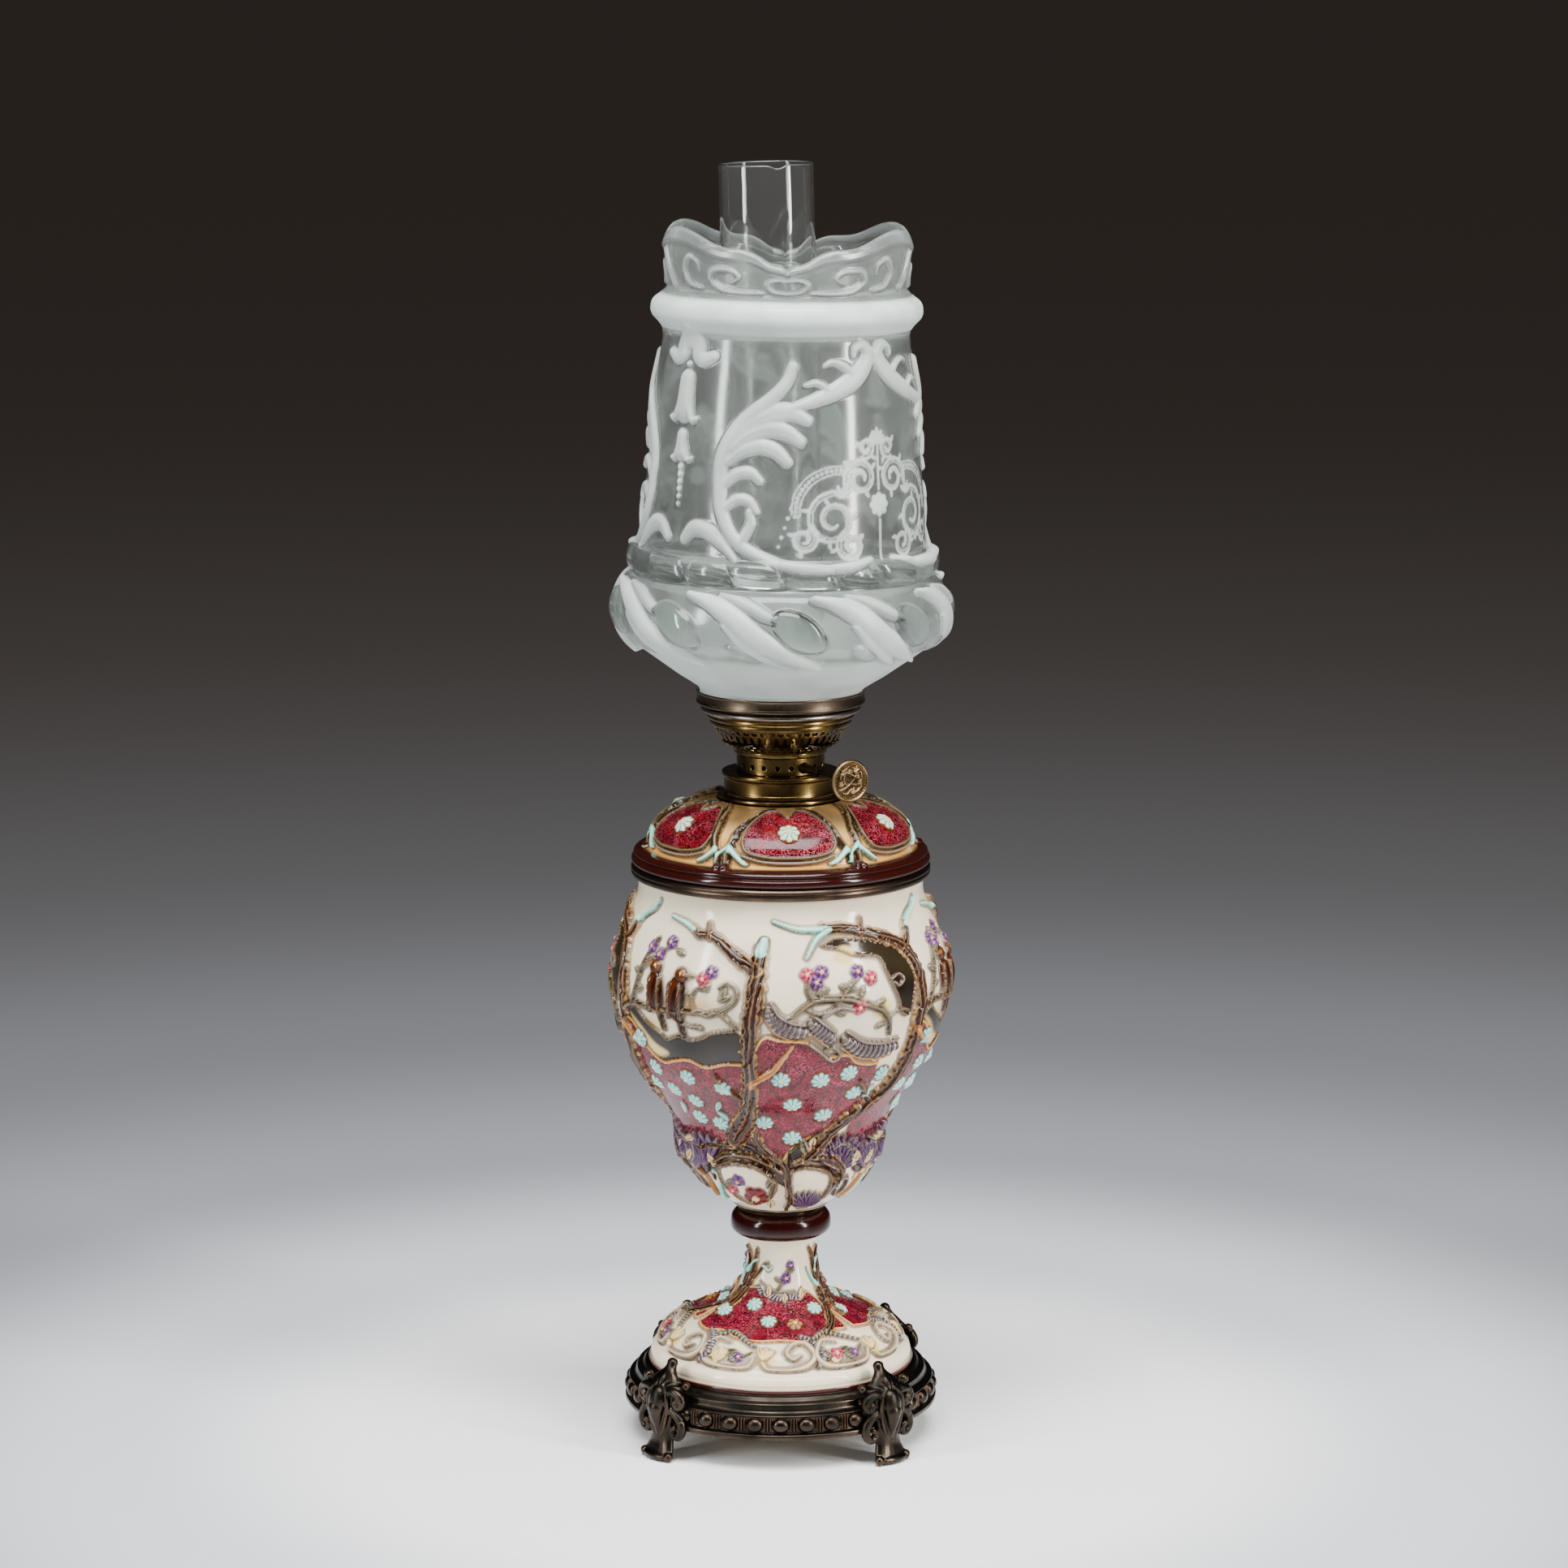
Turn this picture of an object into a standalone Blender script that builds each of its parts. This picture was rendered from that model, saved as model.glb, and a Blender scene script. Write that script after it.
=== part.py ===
"""A nineteenth-century oil lamp, built as an assembly of separate pieces.

Metres, +Z up. The lamp's axis is the Z axis and its feet stand on Z = 0. From the floor up:
a cast base ring on four scroll feet, a glazed pedestal with its knop, a glazed vase clamped to it by a tie rod,
a drop-in font with its own glazed dome, a screw-in round-wick burner with a rack-and-pinion wick winder,
a lift-off gallery, a chimney and a moulded glass shade. Every outline below is (radius, height) in millimetres.
"""

import math

import bmesh
import bpy
from mathutils import Matrix, Vector

MM = 0.001
GAP = 0.3                     # clearance between touching pieces
LARGE_STEPS = 28              # facets round the big turned pieces
SMALL_STEPS = 20              # facets round the burner's turned pieces

# Heights of the seams between pieces, from the floor up.
RING_BOTTOM = 18.0
RING_LEDGE = 35.6
RING_TOP = 39.3
PEDESTAL_TOP = 125.4
VASE_BOTTOM = 127.4
VASE_FLOOR = 133.0
VASE_TOP = 318.5
BAND_TOP = 320.3
DOME_TOP = 356.8
COLLAR_TOP = 358.7
BURNER_BOTTOM = 360.0
BURNER_TOP = 371.0
DRUM_TOP = 380.6
SHADE_SEAT = 409.7
TUBE_TOP = 411.5
SHADE_TOP = 666.0
CHIMNEY_TOP = 699.5

# Base.
BASE_YAW = math.radians(-3)   # the feet stand a little off the square to the winder
FOOT_ANGLES = {"front_right": -45, "rear_right": 45, "rear_left": 135, "front_left": 225}
FOOT_SCREW_HEIGHT = 23.6
ROD_RADIUS = 3.0
ROD_BORE = 5.5                # holes that the tie rod passes in the glazed pieces

# Burner and winder.
HOLE_COUNT = 20
BASKET_COUNT = 22
FINGER_COUNT = 12
WICK_INNER, WICK_OUTER = 12.2, 14.1
WICK_SLIT = math.radians(36)  # the flat wick's edges don't quite meet round the tube
WINDER_ANGLE = math.radians(32)
WINDER_HEIGHT = 375.4
WINDER_OUT = Vector((math.sin(WINDER_ANGLE), -math.cos(WINDER_ANGLE), 0))
SPINDLE_RADIUS = 1.2
KNOB_REACH = 69.8
KNOB_RADIUS = 11.4
TEETH = 8
GEAR_MODULE = 0.8
PITCH_RADIUS = TEETH * GEAR_MODULE / 2
RACK_PITCH = math.pi * GEAR_MODULE
ADDENDUM, DEDENDUM = 0.65, 0.95
PINION_FROM, PINION_TO = 17.0, 20.0

# The two glasses sit slightly off plumb in their spring seats, in opposite directions.
CHIMNEY_LEAN = math.radians(-1.5)
SHADE_LEAN = math.radians(0.9)
CHIMNEY_SEAT = 397.3
CROWN_SIDE_DIP = 0.30         # how much lower the crown is between its tips at each side
CROWN_START = 632.0
CROWN_DIP = 0.42              # height of the scalloped crown at a dip, as a share of its height at a tip


def clear_scene():
    for obj in list(bpy.data.objects):
        bpy.data.objects.remove(obj)


def new_collection(name):
    collection = bpy.data.collections.new(name)
    bpy.context.scene.collection.children.link(collection)
    return collection


def new_material(name, colour, roughness, metallic=0.0, transmission=0.0):
    material = bpy.data.materials.new(name)
    material.use_nodes = True
    shader = material.node_tree.nodes["Principled BSDF"]
    shader.inputs["Base Color"].default_value = (*colour, 1.0)
    shader.inputs["Roughness"].default_value = roughness
    shader.inputs["Metallic"].default_value = metallic
    shader.inputs["Transmission Weight"].default_value = transmission
    return material


clear_scene()
LAMP = new_collection("oil_lamp")
CUTTERS = new_collection("cutters")
BRONZE = new_material("dark_bronze", (0.10, 0.075, 0.055), 0.42, metallic=0.9)
BRASS = new_material("aged_brass", (0.42, 0.28, 0.10), 0.30, metallic=1.0)
STEEL = new_material("steel", (0.35, 0.35, 0.36), 0.45, metallic=1.0)
CREAM = new_material("cream_glaze", (0.83, 0.76, 0.62), 0.15)
BROWN = new_material("dome_glaze", (0.45, 0.20, 0.10), 0.15)
TIN = new_material("tinned_sheet", (0.55, 0.54, 0.50), 0.40, metallic=1.0)
LEATHER = new_material("leather", (0.20, 0.11, 0.06), 0.80)
FELT = new_material("felt", (0.25, 0.25, 0.24), 0.95)
COTTON = new_material("cotton", (0.85, 0.82, 0.74), 0.95)
CLEAR = new_material("clear_glass", (0.95, 0.97, 0.97), 0.02, transmission=1.0)
SATIN = new_material("satin_glass", (0.90, 0.95, 0.92), 0.35, transmission=0.8)


def add_object(name, mesh, material, collection=None):
    obj = bpy.data.objects.new(name, mesh)
    (collection or LAMP).objects.link(obj)
    if material is not None:
        mesh.materials.append(material)
    return obj


def smooth_curve(points, steps):
    """A Catmull-Rom curve through the points, with this many steps between each two."""
    ends = [2 * Vector(points[0]) - Vector(points[1]), *map(Vector, points)]
    ends.append(2 * Vector(points[-1]) - Vector(points[-2]))
    curve = []
    for p0, p1, p2, p3 in zip(ends, ends[1:], ends[2:], ends[3:]):
        for i in range(steps):
            t = i / steps
            a = 2 * p1
            b = (p2 - p0) * t
            c = (2 * p0 - 5 * p1 + 4 * p2 - p3) * t * t
            d = (3 * p1 - p0 - 3 * p2 + p3) * t * t * t
            curve.append((a + b + c + d) / 2)
    return [tuple(p) for p in curve] + [tuple(points[-1])]


def arc(radius, height, size, start, end, steps):
    """Points of an arc of this size centred at (radius, height), from start to end in degrees, up from +radius."""
    angles = [math.radians(start + (end - start) * i / steps) for i in range(steps + 1)]
    return [(radius + size * math.cos(a), height + size * math.sin(a)) for a in angles]


def grown(outline, distance):
    """A closed outline moved outwards by this distance, with mitred corners."""
    points = [Vector(p) for p in outline]
    moved = []
    for before, here, after in zip(points[-1:] + points[:-1], points, points[1:] + points[:1]):
        into, out = (here - before).normalized(), (after - here).normalized()
        normal = Vector((-into.y - out.y, into.x + out.x)).normalized()
        moved.append(tuple(here + normal * distance / max(0.3, normal.dot(Vector((-out.y, out.x))))))
    return moved


def turned(name, outline, material, steps=SMALL_STEPS, closed=True, collection=None):
    """A turned piece: the outline runs down the outside and up the inside, and Screw spins it round Z."""
    count = len(outline)
    edges = [(i, i + 1) for i in range(count - 1)]
    if closed:
        edges.append((count - 1, 0))
    mesh = bpy.data.meshes.new(name)
    mesh.from_pydata([(r * MM, 0, z * MM) for r, z in outline], edges, [])
    obj = add_object(name, mesh, material, collection)
    screw = obj.modifiers.new("turn", "SCREW")
    screw.axis = "Z"
    screw.angle = math.tau
    screw.steps = screw.render_steps = steps
    screw.use_merge_vertices = True
    screw.merge_threshold = 0.00001
    return obj


def realise(obj):
    """Turns an object's evaluated shape, curve or mesh, into its own plain welded mesh."""
    bpy.context.view_layer.update()
    graph = bpy.context.evaluated_depsgraph_get()
    mesh = bpy.data.meshes.new_from_object(obj.evaluated_get(graph))
    shape = bmesh.new()
    shape.from_mesh(mesh)
    bmesh.ops.remove_doubles(shape, verts=shape.verts, dist=0.00001)
    bmesh.ops.triangulate(shape, faces=[face for face in shape.faces if len(face.verts) > 4])
    bmesh.ops.recalc_face_normals(shape, faces=shape.faces)
    shape.to_mesh(mesh)
    shape.free()
    name, matrix = obj.name, obj.matrix_world.copy()
    collection = obj.users_collection[0]
    bpy.data.objects.remove(obj)
    made = bpy.data.objects.new(name, mesh)
    collection.objects.link(made)
    made.matrix_world = matrix
    return made


def make_helper(obj):
    """Hides a cutter, or a shape that another piece takes in."""
    for collection in list(obj.users_collection):
        collection.objects.unlink(obj)
    CUTTERS.objects.link(obj)
    obj.hide_render = True
    obj.display_type = "WIRE"
    return obj


def combine(obj, other, operation):
    make_helper(other)
    boolean = obj.modifiers.new(operation.lower(), "BOOLEAN")
    boolean.operation = operation
    boolean.object = other
    return obj


def cylinder(name, radius, start, end, material=None, vertices=12):
    """A straight round bar between two points in millimetres."""
    start, end = Vector(start) * MM, Vector(end) * MM
    along = end - start
    bpy.ops.mesh.primitive_cylinder_add(vertices=vertices, radius=radius * MM, depth=along.length)
    obj = bpy.context.object
    obj.name = name
    obj.matrix_world = Matrix.Translation((start + end) / 2) @ along.to_track_quat("Z", "Y").to_matrix().to_4x4()
    move_to_lamp(obj, material)
    return obj


def box(name, low, high, material=None):
    """A box between two corners in millimetres."""
    low, high = Vector(low) * MM, Vector(high) * MM
    bpy.ops.mesh.primitive_cube_add(size=1, location=(low + high) / 2)
    obj = bpy.context.object
    obj.name = name
    obj.scale = high - low
    bpy.ops.object.transform_apply(location=False, rotation=False, scale=True)
    move_to_lamp(obj, material)
    return obj


def flat_plate(name, outlines, thickness, material):
    """A flat outline, with any holes as further outlines, extruded to this thickness about its own plane."""
    curve = bpy.data.curves.new(name, "CURVE")
    curve.dimensions = "2D"
    curve.fill_mode = "BOTH"
    curve.extrude = thickness / 2 * MM
    for outline in outlines:
        spline = curve.splines.new("POLY")
        spline.points.add(len(outline) - 1)
        spline.use_cyclic_u = True
        for point, (x, y) in zip(spline.points, outline):
            point.co = (x * MM, y * MM, 0, 1)
    curve.materials.append(material)
    obj = bpy.data.objects.new(name, curve)
    LAMP.objects.link(obj)
    return realise(obj)


def ring_points(radius, count):
    """Points evenly spaced round a circle."""
    angles = [math.tau * i / count for i in range(count)]
    return [(radius * math.cos(a), radius * math.sin(a)) for a in angles]


def move_to_lamp(obj, material):
    for collection in list(obj.users_collection):
        collection.objects.unlink(obj)
    LAMP.objects.link(obj)
    if material is not None:
        obj.data.materials.append(material)


def shade_by_angle(obj, degrees=35):
    obj.data.shade_smooth()
    obj.data.set_sharp_from_angle(angle=math.radians(degrees))


# ---------------------------------------------------------------- base

RING_OUTLINE = [
    (75.0, RING_TOP), (76.4, 37.4), (79.4, 36.6), (80.0, 33.1), (84.2, 30.0), (84.4, 22.6), (86.4, 22.4),
    (86.4, RING_BOTTOM), (80.4, RING_BOTTOM), (79.6, 28.5), (74.0, 33.0), (63.0, 33.0), (63.0, RING_LEDGE),
    (73.4, RING_LEDGE), (73.4, RING_TOP),
]


FOOT_SCREW_OUTLINE = [(0, 10.2), (1.3, 10.2), (1.3, 1.4), (2.8, 1.2), (2.8, 0.3), (0, 0)]
UP_TO_X = Matrix.Rotation(math.pi / 2, 4, "Y")


def on_base(obj, degrees=0.0):
    """Turns a piece built along +X to its place round the base."""
    obj.matrix_world = Matrix.Rotation(BASE_YAW + math.radians(degrees), 4, "Z") @ obj.matrix_world
    return obj


def scroll_tube(name, path, collection):
    """A round bar through (x, y, z, thickness) points, on a poly spline."""
    curve = bpy.data.curves.new(name, "CURVE")
    curve.dimensions = "3D"
    curve.bevel_depth = MM
    curve.bevel_resolution = 2
    curve.use_fill_caps = True
    spline = curve.splines.new("POLY")
    spline.points.add(len(path) - 1)
    for point, (x, y, z, thickness) in zip(spline.points, path):
        point.co = (x * MM, y * MM, z * MM, 1)
        point.radius = thickness
    obj = bpy.data.objects.new(name, curve)
    collection.objects.link(obj)
    return realise(obj)


def foot_mesh():
    """One scroll foot along +X: a thick S-shaped leg with a leaf crest, a splayed toe and a C-scroll each side."""
    leg = [(81.0, 0, 49.6, 1.6), (83.0, 0, 45.0, 3.6), (86.4, 0, 38.0, 5.6), (88.4, 0, 29.0, 7.0),
           (87.6, 0, 20.0, 6.2), (86.0, 0, 12.5, 5.4), (87.4, 0, 6.0, 5.6), (91.6, 0, 2.6, 4.2)]
    foot = scroll_tube("foot", leg, LAMP)
    bpy.ops.mesh.primitive_uv_sphere_add(segments=12, ring_count=6, radius=MM, location=(90.6 * MM, 0, 2.6 * MM))
    toe = bpy.context.object
    toe.scale = (6.2, 9.0, 4.2)
    combine(foot, toe, "UNION")
    side = [(8.6, 29.0), (5.4, 25.0), (4.6, 17.0), (6.6, 9.0), (11.2, 5.4), (14.2, 9.4)]
    for sign in (-1, 1):
        path = [(87.6, sign * y, z, 2.1) for y, z in side]
        combine(foot, scroll_tube("foot_scroll", path, LAMP), "UNION")
    ring_space = turned("foot_ring_space", grown(RING_OUTLINE, GAP), None, LARGE_STEPS)
    combine(foot, ring_space, "DIFFERENCE")
    combine(foot, box("foot_floor", (60, -30, -20), (120, 30, 0)), "DIFFERENCE")
    combine(foot, cylinder("foot_screw_hole", 1.7, (70, 0, FOOT_SCREW_HEIGHT), (90, 0, FOOT_SCREW_HEIGHT)),
            "DIFFERENCE")
    foot = realise(foot)
    mesh = foot.data
    bpy.data.objects.remove(foot)
    mesh.materials.clear()
    mesh.materials.append(BRONZE)
    return mesh


def make_base():
    ring = turned("base_ring", RING_OUTLINE, BRONZE, LARGE_STEPS)
    on_base(ring)
    mesh = foot_mesh()
    for place, degrees in FOOT_ANGLES.items():
        foot = add_object(f"foot_{place}", mesh, None)
        on_base(foot, degrees)
        start, end = (72, 0, FOOT_SCREW_HEIGHT), (89.5, 0, FOOT_SCREW_HEIGHT)
        hole = on_base(cylinder(f"ring_hole_{place}", 1.7, start, end, vertices=8), degrees)
        combine(ring, hole, "DIFFERENCE")
        screw = turned(f"foot_screw_{place}", FOOT_SCREW_OUTLINE, STEEL, 8, closed=False)
        screw.matrix_world = Matrix.Translation(Vector((77.6, 0, FOOT_SCREW_HEIGHT)) * MM) @ UP_TO_X
        on_base(screw, degrees)
    make_pedestal()
    make_tie()


def make_pedestal():
    """The glazed foot: a domed dish, a slender neck and the knop, hollow underneath."""
    knop = arc(20.9, 118.4, 6.8, 78, -78, 4)
    neck = smooth_curve([(20.6, 110.6), (18.6, 100.0), (28.0, 78.0), (50.0, 66.0), (66.8, 53.6)], 2)
    dish = [(71.4, 48.0), (72.2, 43.0), (73.0, 41.6), (73.0, 35.9)]
    inside = [(66.0, 35.9), (63.0, 49.0), (30.0, 70.0), (15.0, 87.0), (13.0, 119.4), (ROD_BORE, 119.4)]
    outline = [(ROD_BORE, PEDESTAL_TOP), *knop, *neck, *dish, *inside]
    turned("pedestal", outline, CREAM, LARGE_STEPS)


def make_tie():
    """The strap under the base ring, and the rod and nuts that clamp ring, pedestal and vase together."""
    strap = on_base(box("tie_strap", (-69.5, -8, 29.4), (69.5, 8, 32.6), STEEL))
    combine(strap, cylinder("strap_hole", 3.4, (0, 0, 20), (0, 0, 40)), "DIFFERENCE")
    cylinder("tie_rod", ROD_RADIUS, (0, 0, 22), (0, 0, 146), STEEL)
    for name, middle in (("tie_nut_lower", 26.8), ("tie_nut_upper", 139.8)):
        nut = flat_plate(name, [ring_points(6.2, 6), ring_points(ROD_RADIUS + GAP + 0.1, 12)], 4.6, STEEL)
        nut.location.z = middle * MM
    turned("tie_washer", [(3.6, 137.0), (11.0, 137.0), (11.0, 135.7), (3.6, 135.7)], STEEL, 16)
    turned("felt_washer", [(3.6, 135.4), (15.0, 135.4), (15.0, VASE_FLOOR + GAP), (3.6, VASE_FLOOR + GAP)], FELT, 16)
    cup = [(26.6, 130.2), (23.0, 125.7), (ROD_BORE, 125.7), (ROD_BORE, 127.0), (22.0, 127.0), (24.6, 130.2)]
    turned("join_collar", cup, BRASS, LARGE_STEPS)


# ---------------------------------------------------------------- vase and font

def make_vase():
    """The glazed vase, out to the tips of its relief, and the metal band round its lip."""
    lip = [(78.0, VASE_TOP), (78.0, 306.0)]
    belly = smooth_curve([(79.6, 299.0), (96.6, 257.0), (81.0, 210.0), (57.0, 178.0), (50.0, 154.0),
                          (27.0, 131.0)], 2)
    bottom = [(23.4, 130.6), (21.3, VASE_BOTTOM), (ROD_BORE, VASE_BOTTOM)]
    inside = [(ROD_BORE, VASE_FLOOR), (19.0, VASE_FLOOR), (44.0, 158.0), (52.0, 182.0), (74.0, 212.0),
              (89.0, 250.0), (83.0, 280.0), (72.6, 300.0), (72.6, VASE_TOP)]
    turned("vase_body", lip + belly + bottom + inside, CREAM, LARGE_STEPS)
    band = [(80.2, BAND_TOP), (81.8, 318.4), (81.8, 315.8), (80.2, 313.6), (78.3, 313.6), (78.3, 318.8),
            (73.8, 318.8), (73.8, BAND_TOP)]
    turned("rim_band", band, BRONZE, LARGE_STEPS)


def make_font():
    """The drop-in font: glazed dome with its rim, tinned oil tank, and the brass collar for the burner."""
    dome = smooth_curve([(28.4, DOME_TOP), (52.0, 353.4), (68.0, 340.6), (74.4, 329.4)], 2)
    rim = [(79.2, 326.4), (81.0, 323.6), (80.6, 320.6), (71.6, 320.6), (71.6, 312.6), (67.4, 312.6)]
    inside = [(67.0, 330.0), (60.0, 343.0), (44.0, 350.4), (28.4, 351.4)]
    turned("font_dome", dome + rim + inside, BROWN, LARGE_STEPS)
    tank = [(0, 222.2), (55.4, 224.2), (60.8, 230.4), (60.8, 315.6), (57.4, 319.8), (26.6, 329.0), (26.6, 350.6),
            (27.8, 350.6), (27.8, 330.0), (58.0, 321.0), (62.0, 316.0), (62.0, 230.0), (56.0, 223.0), (0, 221.0)]
    turned("oil_tank", tank, TIN, closed=False)
    collar = [(34.5, COLLAR_TOP), (34.5, 357.1), (26.3, 357.1), (26.3, 340.0), (24.8, 340.0), (24.8, COLLAR_TOP)]
    turned("font_collar", collar, BRASS, SMALL_STEPS)


# ---------------------------------------------------------------- burner

def out_at(reach, across=0.0, height=WINDER_HEIGHT):
    """A point this far out along the winder's spindle, across it to the user's right, in millimetres."""
    right = Vector((-WINDER_OUT.y, WINDER_OUT.x, 0))
    return WINDER_OUT * reach + right * across + Vector((0, 0, height))


def along_winder(obj):
    """Turns a piece built up +Z round the origin to lie along the spindle, pointing out."""
    turn = Matrix((Vector((-WINDER_OUT.y, WINDER_OUT.x, 0)), Vector((0, 0, 1)), WINDER_OUT)).transposed()
    obj.matrix_world = Matrix.Translation(out_at(0) * MM) @ turn.to_4x4()
    return obj


def make_burner():
    turned("burner_washer", [(25.2, 359.7), (29.8, 359.7), (29.8, 359.0), (25.2, 359.0)], LEATHER)
    make_burner_base()
    make_air_drum()
    tube = [(15.2, TUBE_TOP), (15.2, 346.5), (14.4, 346.5), (14.4, TUBE_TOP)]
    turned("wick_tube_outer", tube, BRASS)
    make_inner_tube()
    bush = [(1.5, 40.0), (2.1, 40.0), (2.6, 25.0), (2.6, 21.4), (1.5, 21.4)]
    along_winder(turned("spindle_bush", bush, BRASS, 12))


def make_burner_base():
    """The wide drum that screws into the collar, with a sunk deck for the wick gear."""
    outline = [(32.0, BURNER_TOP), (32.0, 368.8), (30.8, 368.4), (30.8, BURNER_BOTTOM), (24.4, BURNER_BOTTOM),
               (24.4, 345.0), (23.4, 345.0), (23.4, 361.2), (29.8, 361.2), (29.8, 369.8), (23.2, 369.8),
               (23.2, 365.0), (15.5, 365.0), (15.5, 366.2), (22.2, 366.2), (22.2, BURNER_TOP)]
    base = turned("burner_base", outline, BRASS)
    slot = box("rack_slot", (16.4, -2.2, 355), (20.6, 2.2, 371))
    slot.matrix_world = Matrix.Translation(out_at(0, -4.2, 0) * MM) @ winder_yaw() @ slot.matrix_world
    combine(base, slot, "DIFFERENCE")


def winder_yaw():
    """Turns what is built along +X to lie along the spindle."""
    return Matrix.Rotation(WINDER_ANGLE - math.pi / 2, 4, "Z")


def make_air_drum():
    """The perforated drum between the burner's base and its basket."""
    drum = turned("air_drum", [(24.0, DRUM_TOP), (24.0, 371.3), (23.1, 371.3), (23.1, DRUM_TOP)], BRASS)
    for i in range(HOLE_COUNT):
        angle = math.tau * i / HOLE_COUNT
        reach = Matrix.Rotation(angle, 3, "Z") @ WINDER_OUT
        radius = 2.95 if i == 0 else 1.25
        start, end = reach * 20 + Vector((0, 0, WINDER_HEIGHT)), reach * 28 + Vector((0, 0, WINDER_HEIGHT))
        combine(drum, cylinder(f"air_hole_{i}", radius, start, end, vertices=6 if i else 12), "DIFFERENCE")


def make_inner_tube():
    """The inner wick tube, with the web that holds it through the wick's slit."""
    tube = realise(turned("wick_tube_inner", [(11.9, TUBE_TOP), (11.9, 366.6), (11.1, 366.6), (11.1, TUBE_TOP)],
                          BRASS))
    web = box("tube_web", (11.5, -0.5, 370.0), (14.0, 0.5, 408.0))
    web.matrix_world = Matrix.Rotation(math.pi, 4, "Z") @ winder_yaw() @ web.matrix_world
    combine(tube, web, "UNION")


# ---------------------------------------------------------------- gallery

def make_gallery():
    make_basket()
    make_crown()
    ring = [(45.8, 415.6), (45.8, 408.8), (41.2, 408.2), (40.9, 405.9), (40.0, 405.9), (40.2, SHADE_SEAT),
            (44.9, SHADE_SEAT), (44.9, 415.6)]
    turned("shade_ring", ring, BRASS, LARGE_STEPS)


def thin_wall(obj, thickness):
    wall = obj.modifiers.new("wall", "SOLIDIFY")
    wall.thickness = thickness * MM
    wall.offset = 0
    return obj


def make_basket():
    """The flared basket with its row of pierced windows."""
    outline = [(41.9, 405.2), (41.2, 403.6), (38.6, 401.0), (36.2, 395.6), (30.0, 386.0), (24.9, 383.6), (24.9, 381.4)]
    basket = realise(turned("gallery_basket", outline, BRASS, BASKET_COUNT, closed=False))
    shape = bmesh.new()
    shape.from_mesh(basket.data)
    low, high = 386.0 * MM, 395.6 * MM
    pierced = [f for f in shape.faces if low < f.calc_center_median().z < high]
    bmesh.ops.inset_individual(shape, faces=pierced, thickness=0.9 * MM, use_even_offset=True)
    bmesh.ops.delete(shape, geom=pierced, context="FACES")
    shape.to_mesh(basket.data)
    shape.free()
    thin_wall(basket, 0.7)


def make_crown():
    """The seat inside the basket, with spring fingers that lean in to hold the chimney."""
    outline = [(31.7, 409.4), (35.4, 399.6), (35.7, 397.0), (26.4, 397.0)]
    crown = realise(turned("chimney_crown", outline, BRASS, 2 * FINGER_COUNT, closed=False))
    shape = bmesh.new()
    shape.from_mesh(crown.data)
    fingers = [f for f in shape.faces if f.calc_center_median().z > 400 * MM]
    fingers.sort(key=lambda f: math.atan2(f.calc_center_median().y, f.calc_center_median().x))
    bmesh.ops.delete(shape, geom=fingers[::2], context="FACES")
    shape.to_mesh(crown.data)
    shape.free()
    thin_wall(crown, 0.6)


# ---------------------------------------------------------------- winder and wick

def pinion_outline():
    """Eight slim tapered teeth."""
    half_angles = ((PITCH_RADIUS - DEDENDUM, 0.30), (PITCH_RADIUS, 0.145), (PITCH_RADIUS + ADDENDUM, 0.05))
    points = []
    for i in range(TEETH):
        middle = math.tau * i / TEETH
        flank = [(r, middle - a) for r, a in half_angles] + [(r, middle + a) for r, a in reversed(half_angles)]
        points += [(r * math.cos(a), r * math.sin(a)) for r, a in flank]
    return points


def rack_outline(bottom, top):
    """A toothed bar: (across, height) with the teeth towards +across, in step with the pinion's gaps."""
    root, tip, back = -PITCH_RADIUS - DEDENDUM, -PITCH_RADIUS + ADDENDUM, -PITCH_RADIUS - DEDENDUM - 1.8
    points = [(back, top), (back, bottom), (root, bottom)]
    first = math.ceil((366.0 - WINDER_HEIGHT) / RACK_PITCH)
    for i in range(first, first + 9):
        middle = WINDER_HEIGHT + (i + 0.5) * RACK_PITCH
        points += [(root, middle - 0.80), (tip, middle - 0.22), (tip, middle + 0.22), (root, middle + 0.80)]
    return [*points, (root, top)]


def make_winder():
    """The spindle, its pinion and the embossed knob."""
    spindle = cylinder("winder_spindle", SPINDLE_RADIUS, (0, 0, 16.6), (0, 0, 68.0), BRASS)
    spindle.data.transform(Matrix.Translation((0, 0, (16.6 + 68.0) / 2 * MM)))
    along_winder(spindle)
    bore = ring_points(SPINDLE_RADIUS + GAP, 12)
    pinion = flat_plate("winder_pinion", [pinion_outline(), bore], PINION_TO - PINION_FROM, BRASS)
    pinion.data.transform(Matrix.Translation((0, 0, (PINION_FROM + PINION_TO) / 2 * MM)))
    along_winder(pinion)
    edge = KNOB_RADIUS
    knob = [(0, KNOB_REACH + 0.8), (edge - 2.0, KNOB_REACH + 0.8), (edge - 0.8, KNOB_REACH + 1.2),
            (edge, KNOB_REACH + 0.6), (edge, KNOB_REACH - 0.9), (2.4, KNOB_REACH - 1.0), (2.0, 66.0), (1.5, 66.0),
            (1.5, 68.3), (0, 68.3)]
    along_winder(turned("winder_knob", knob, BRASS, closed=False))


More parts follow.
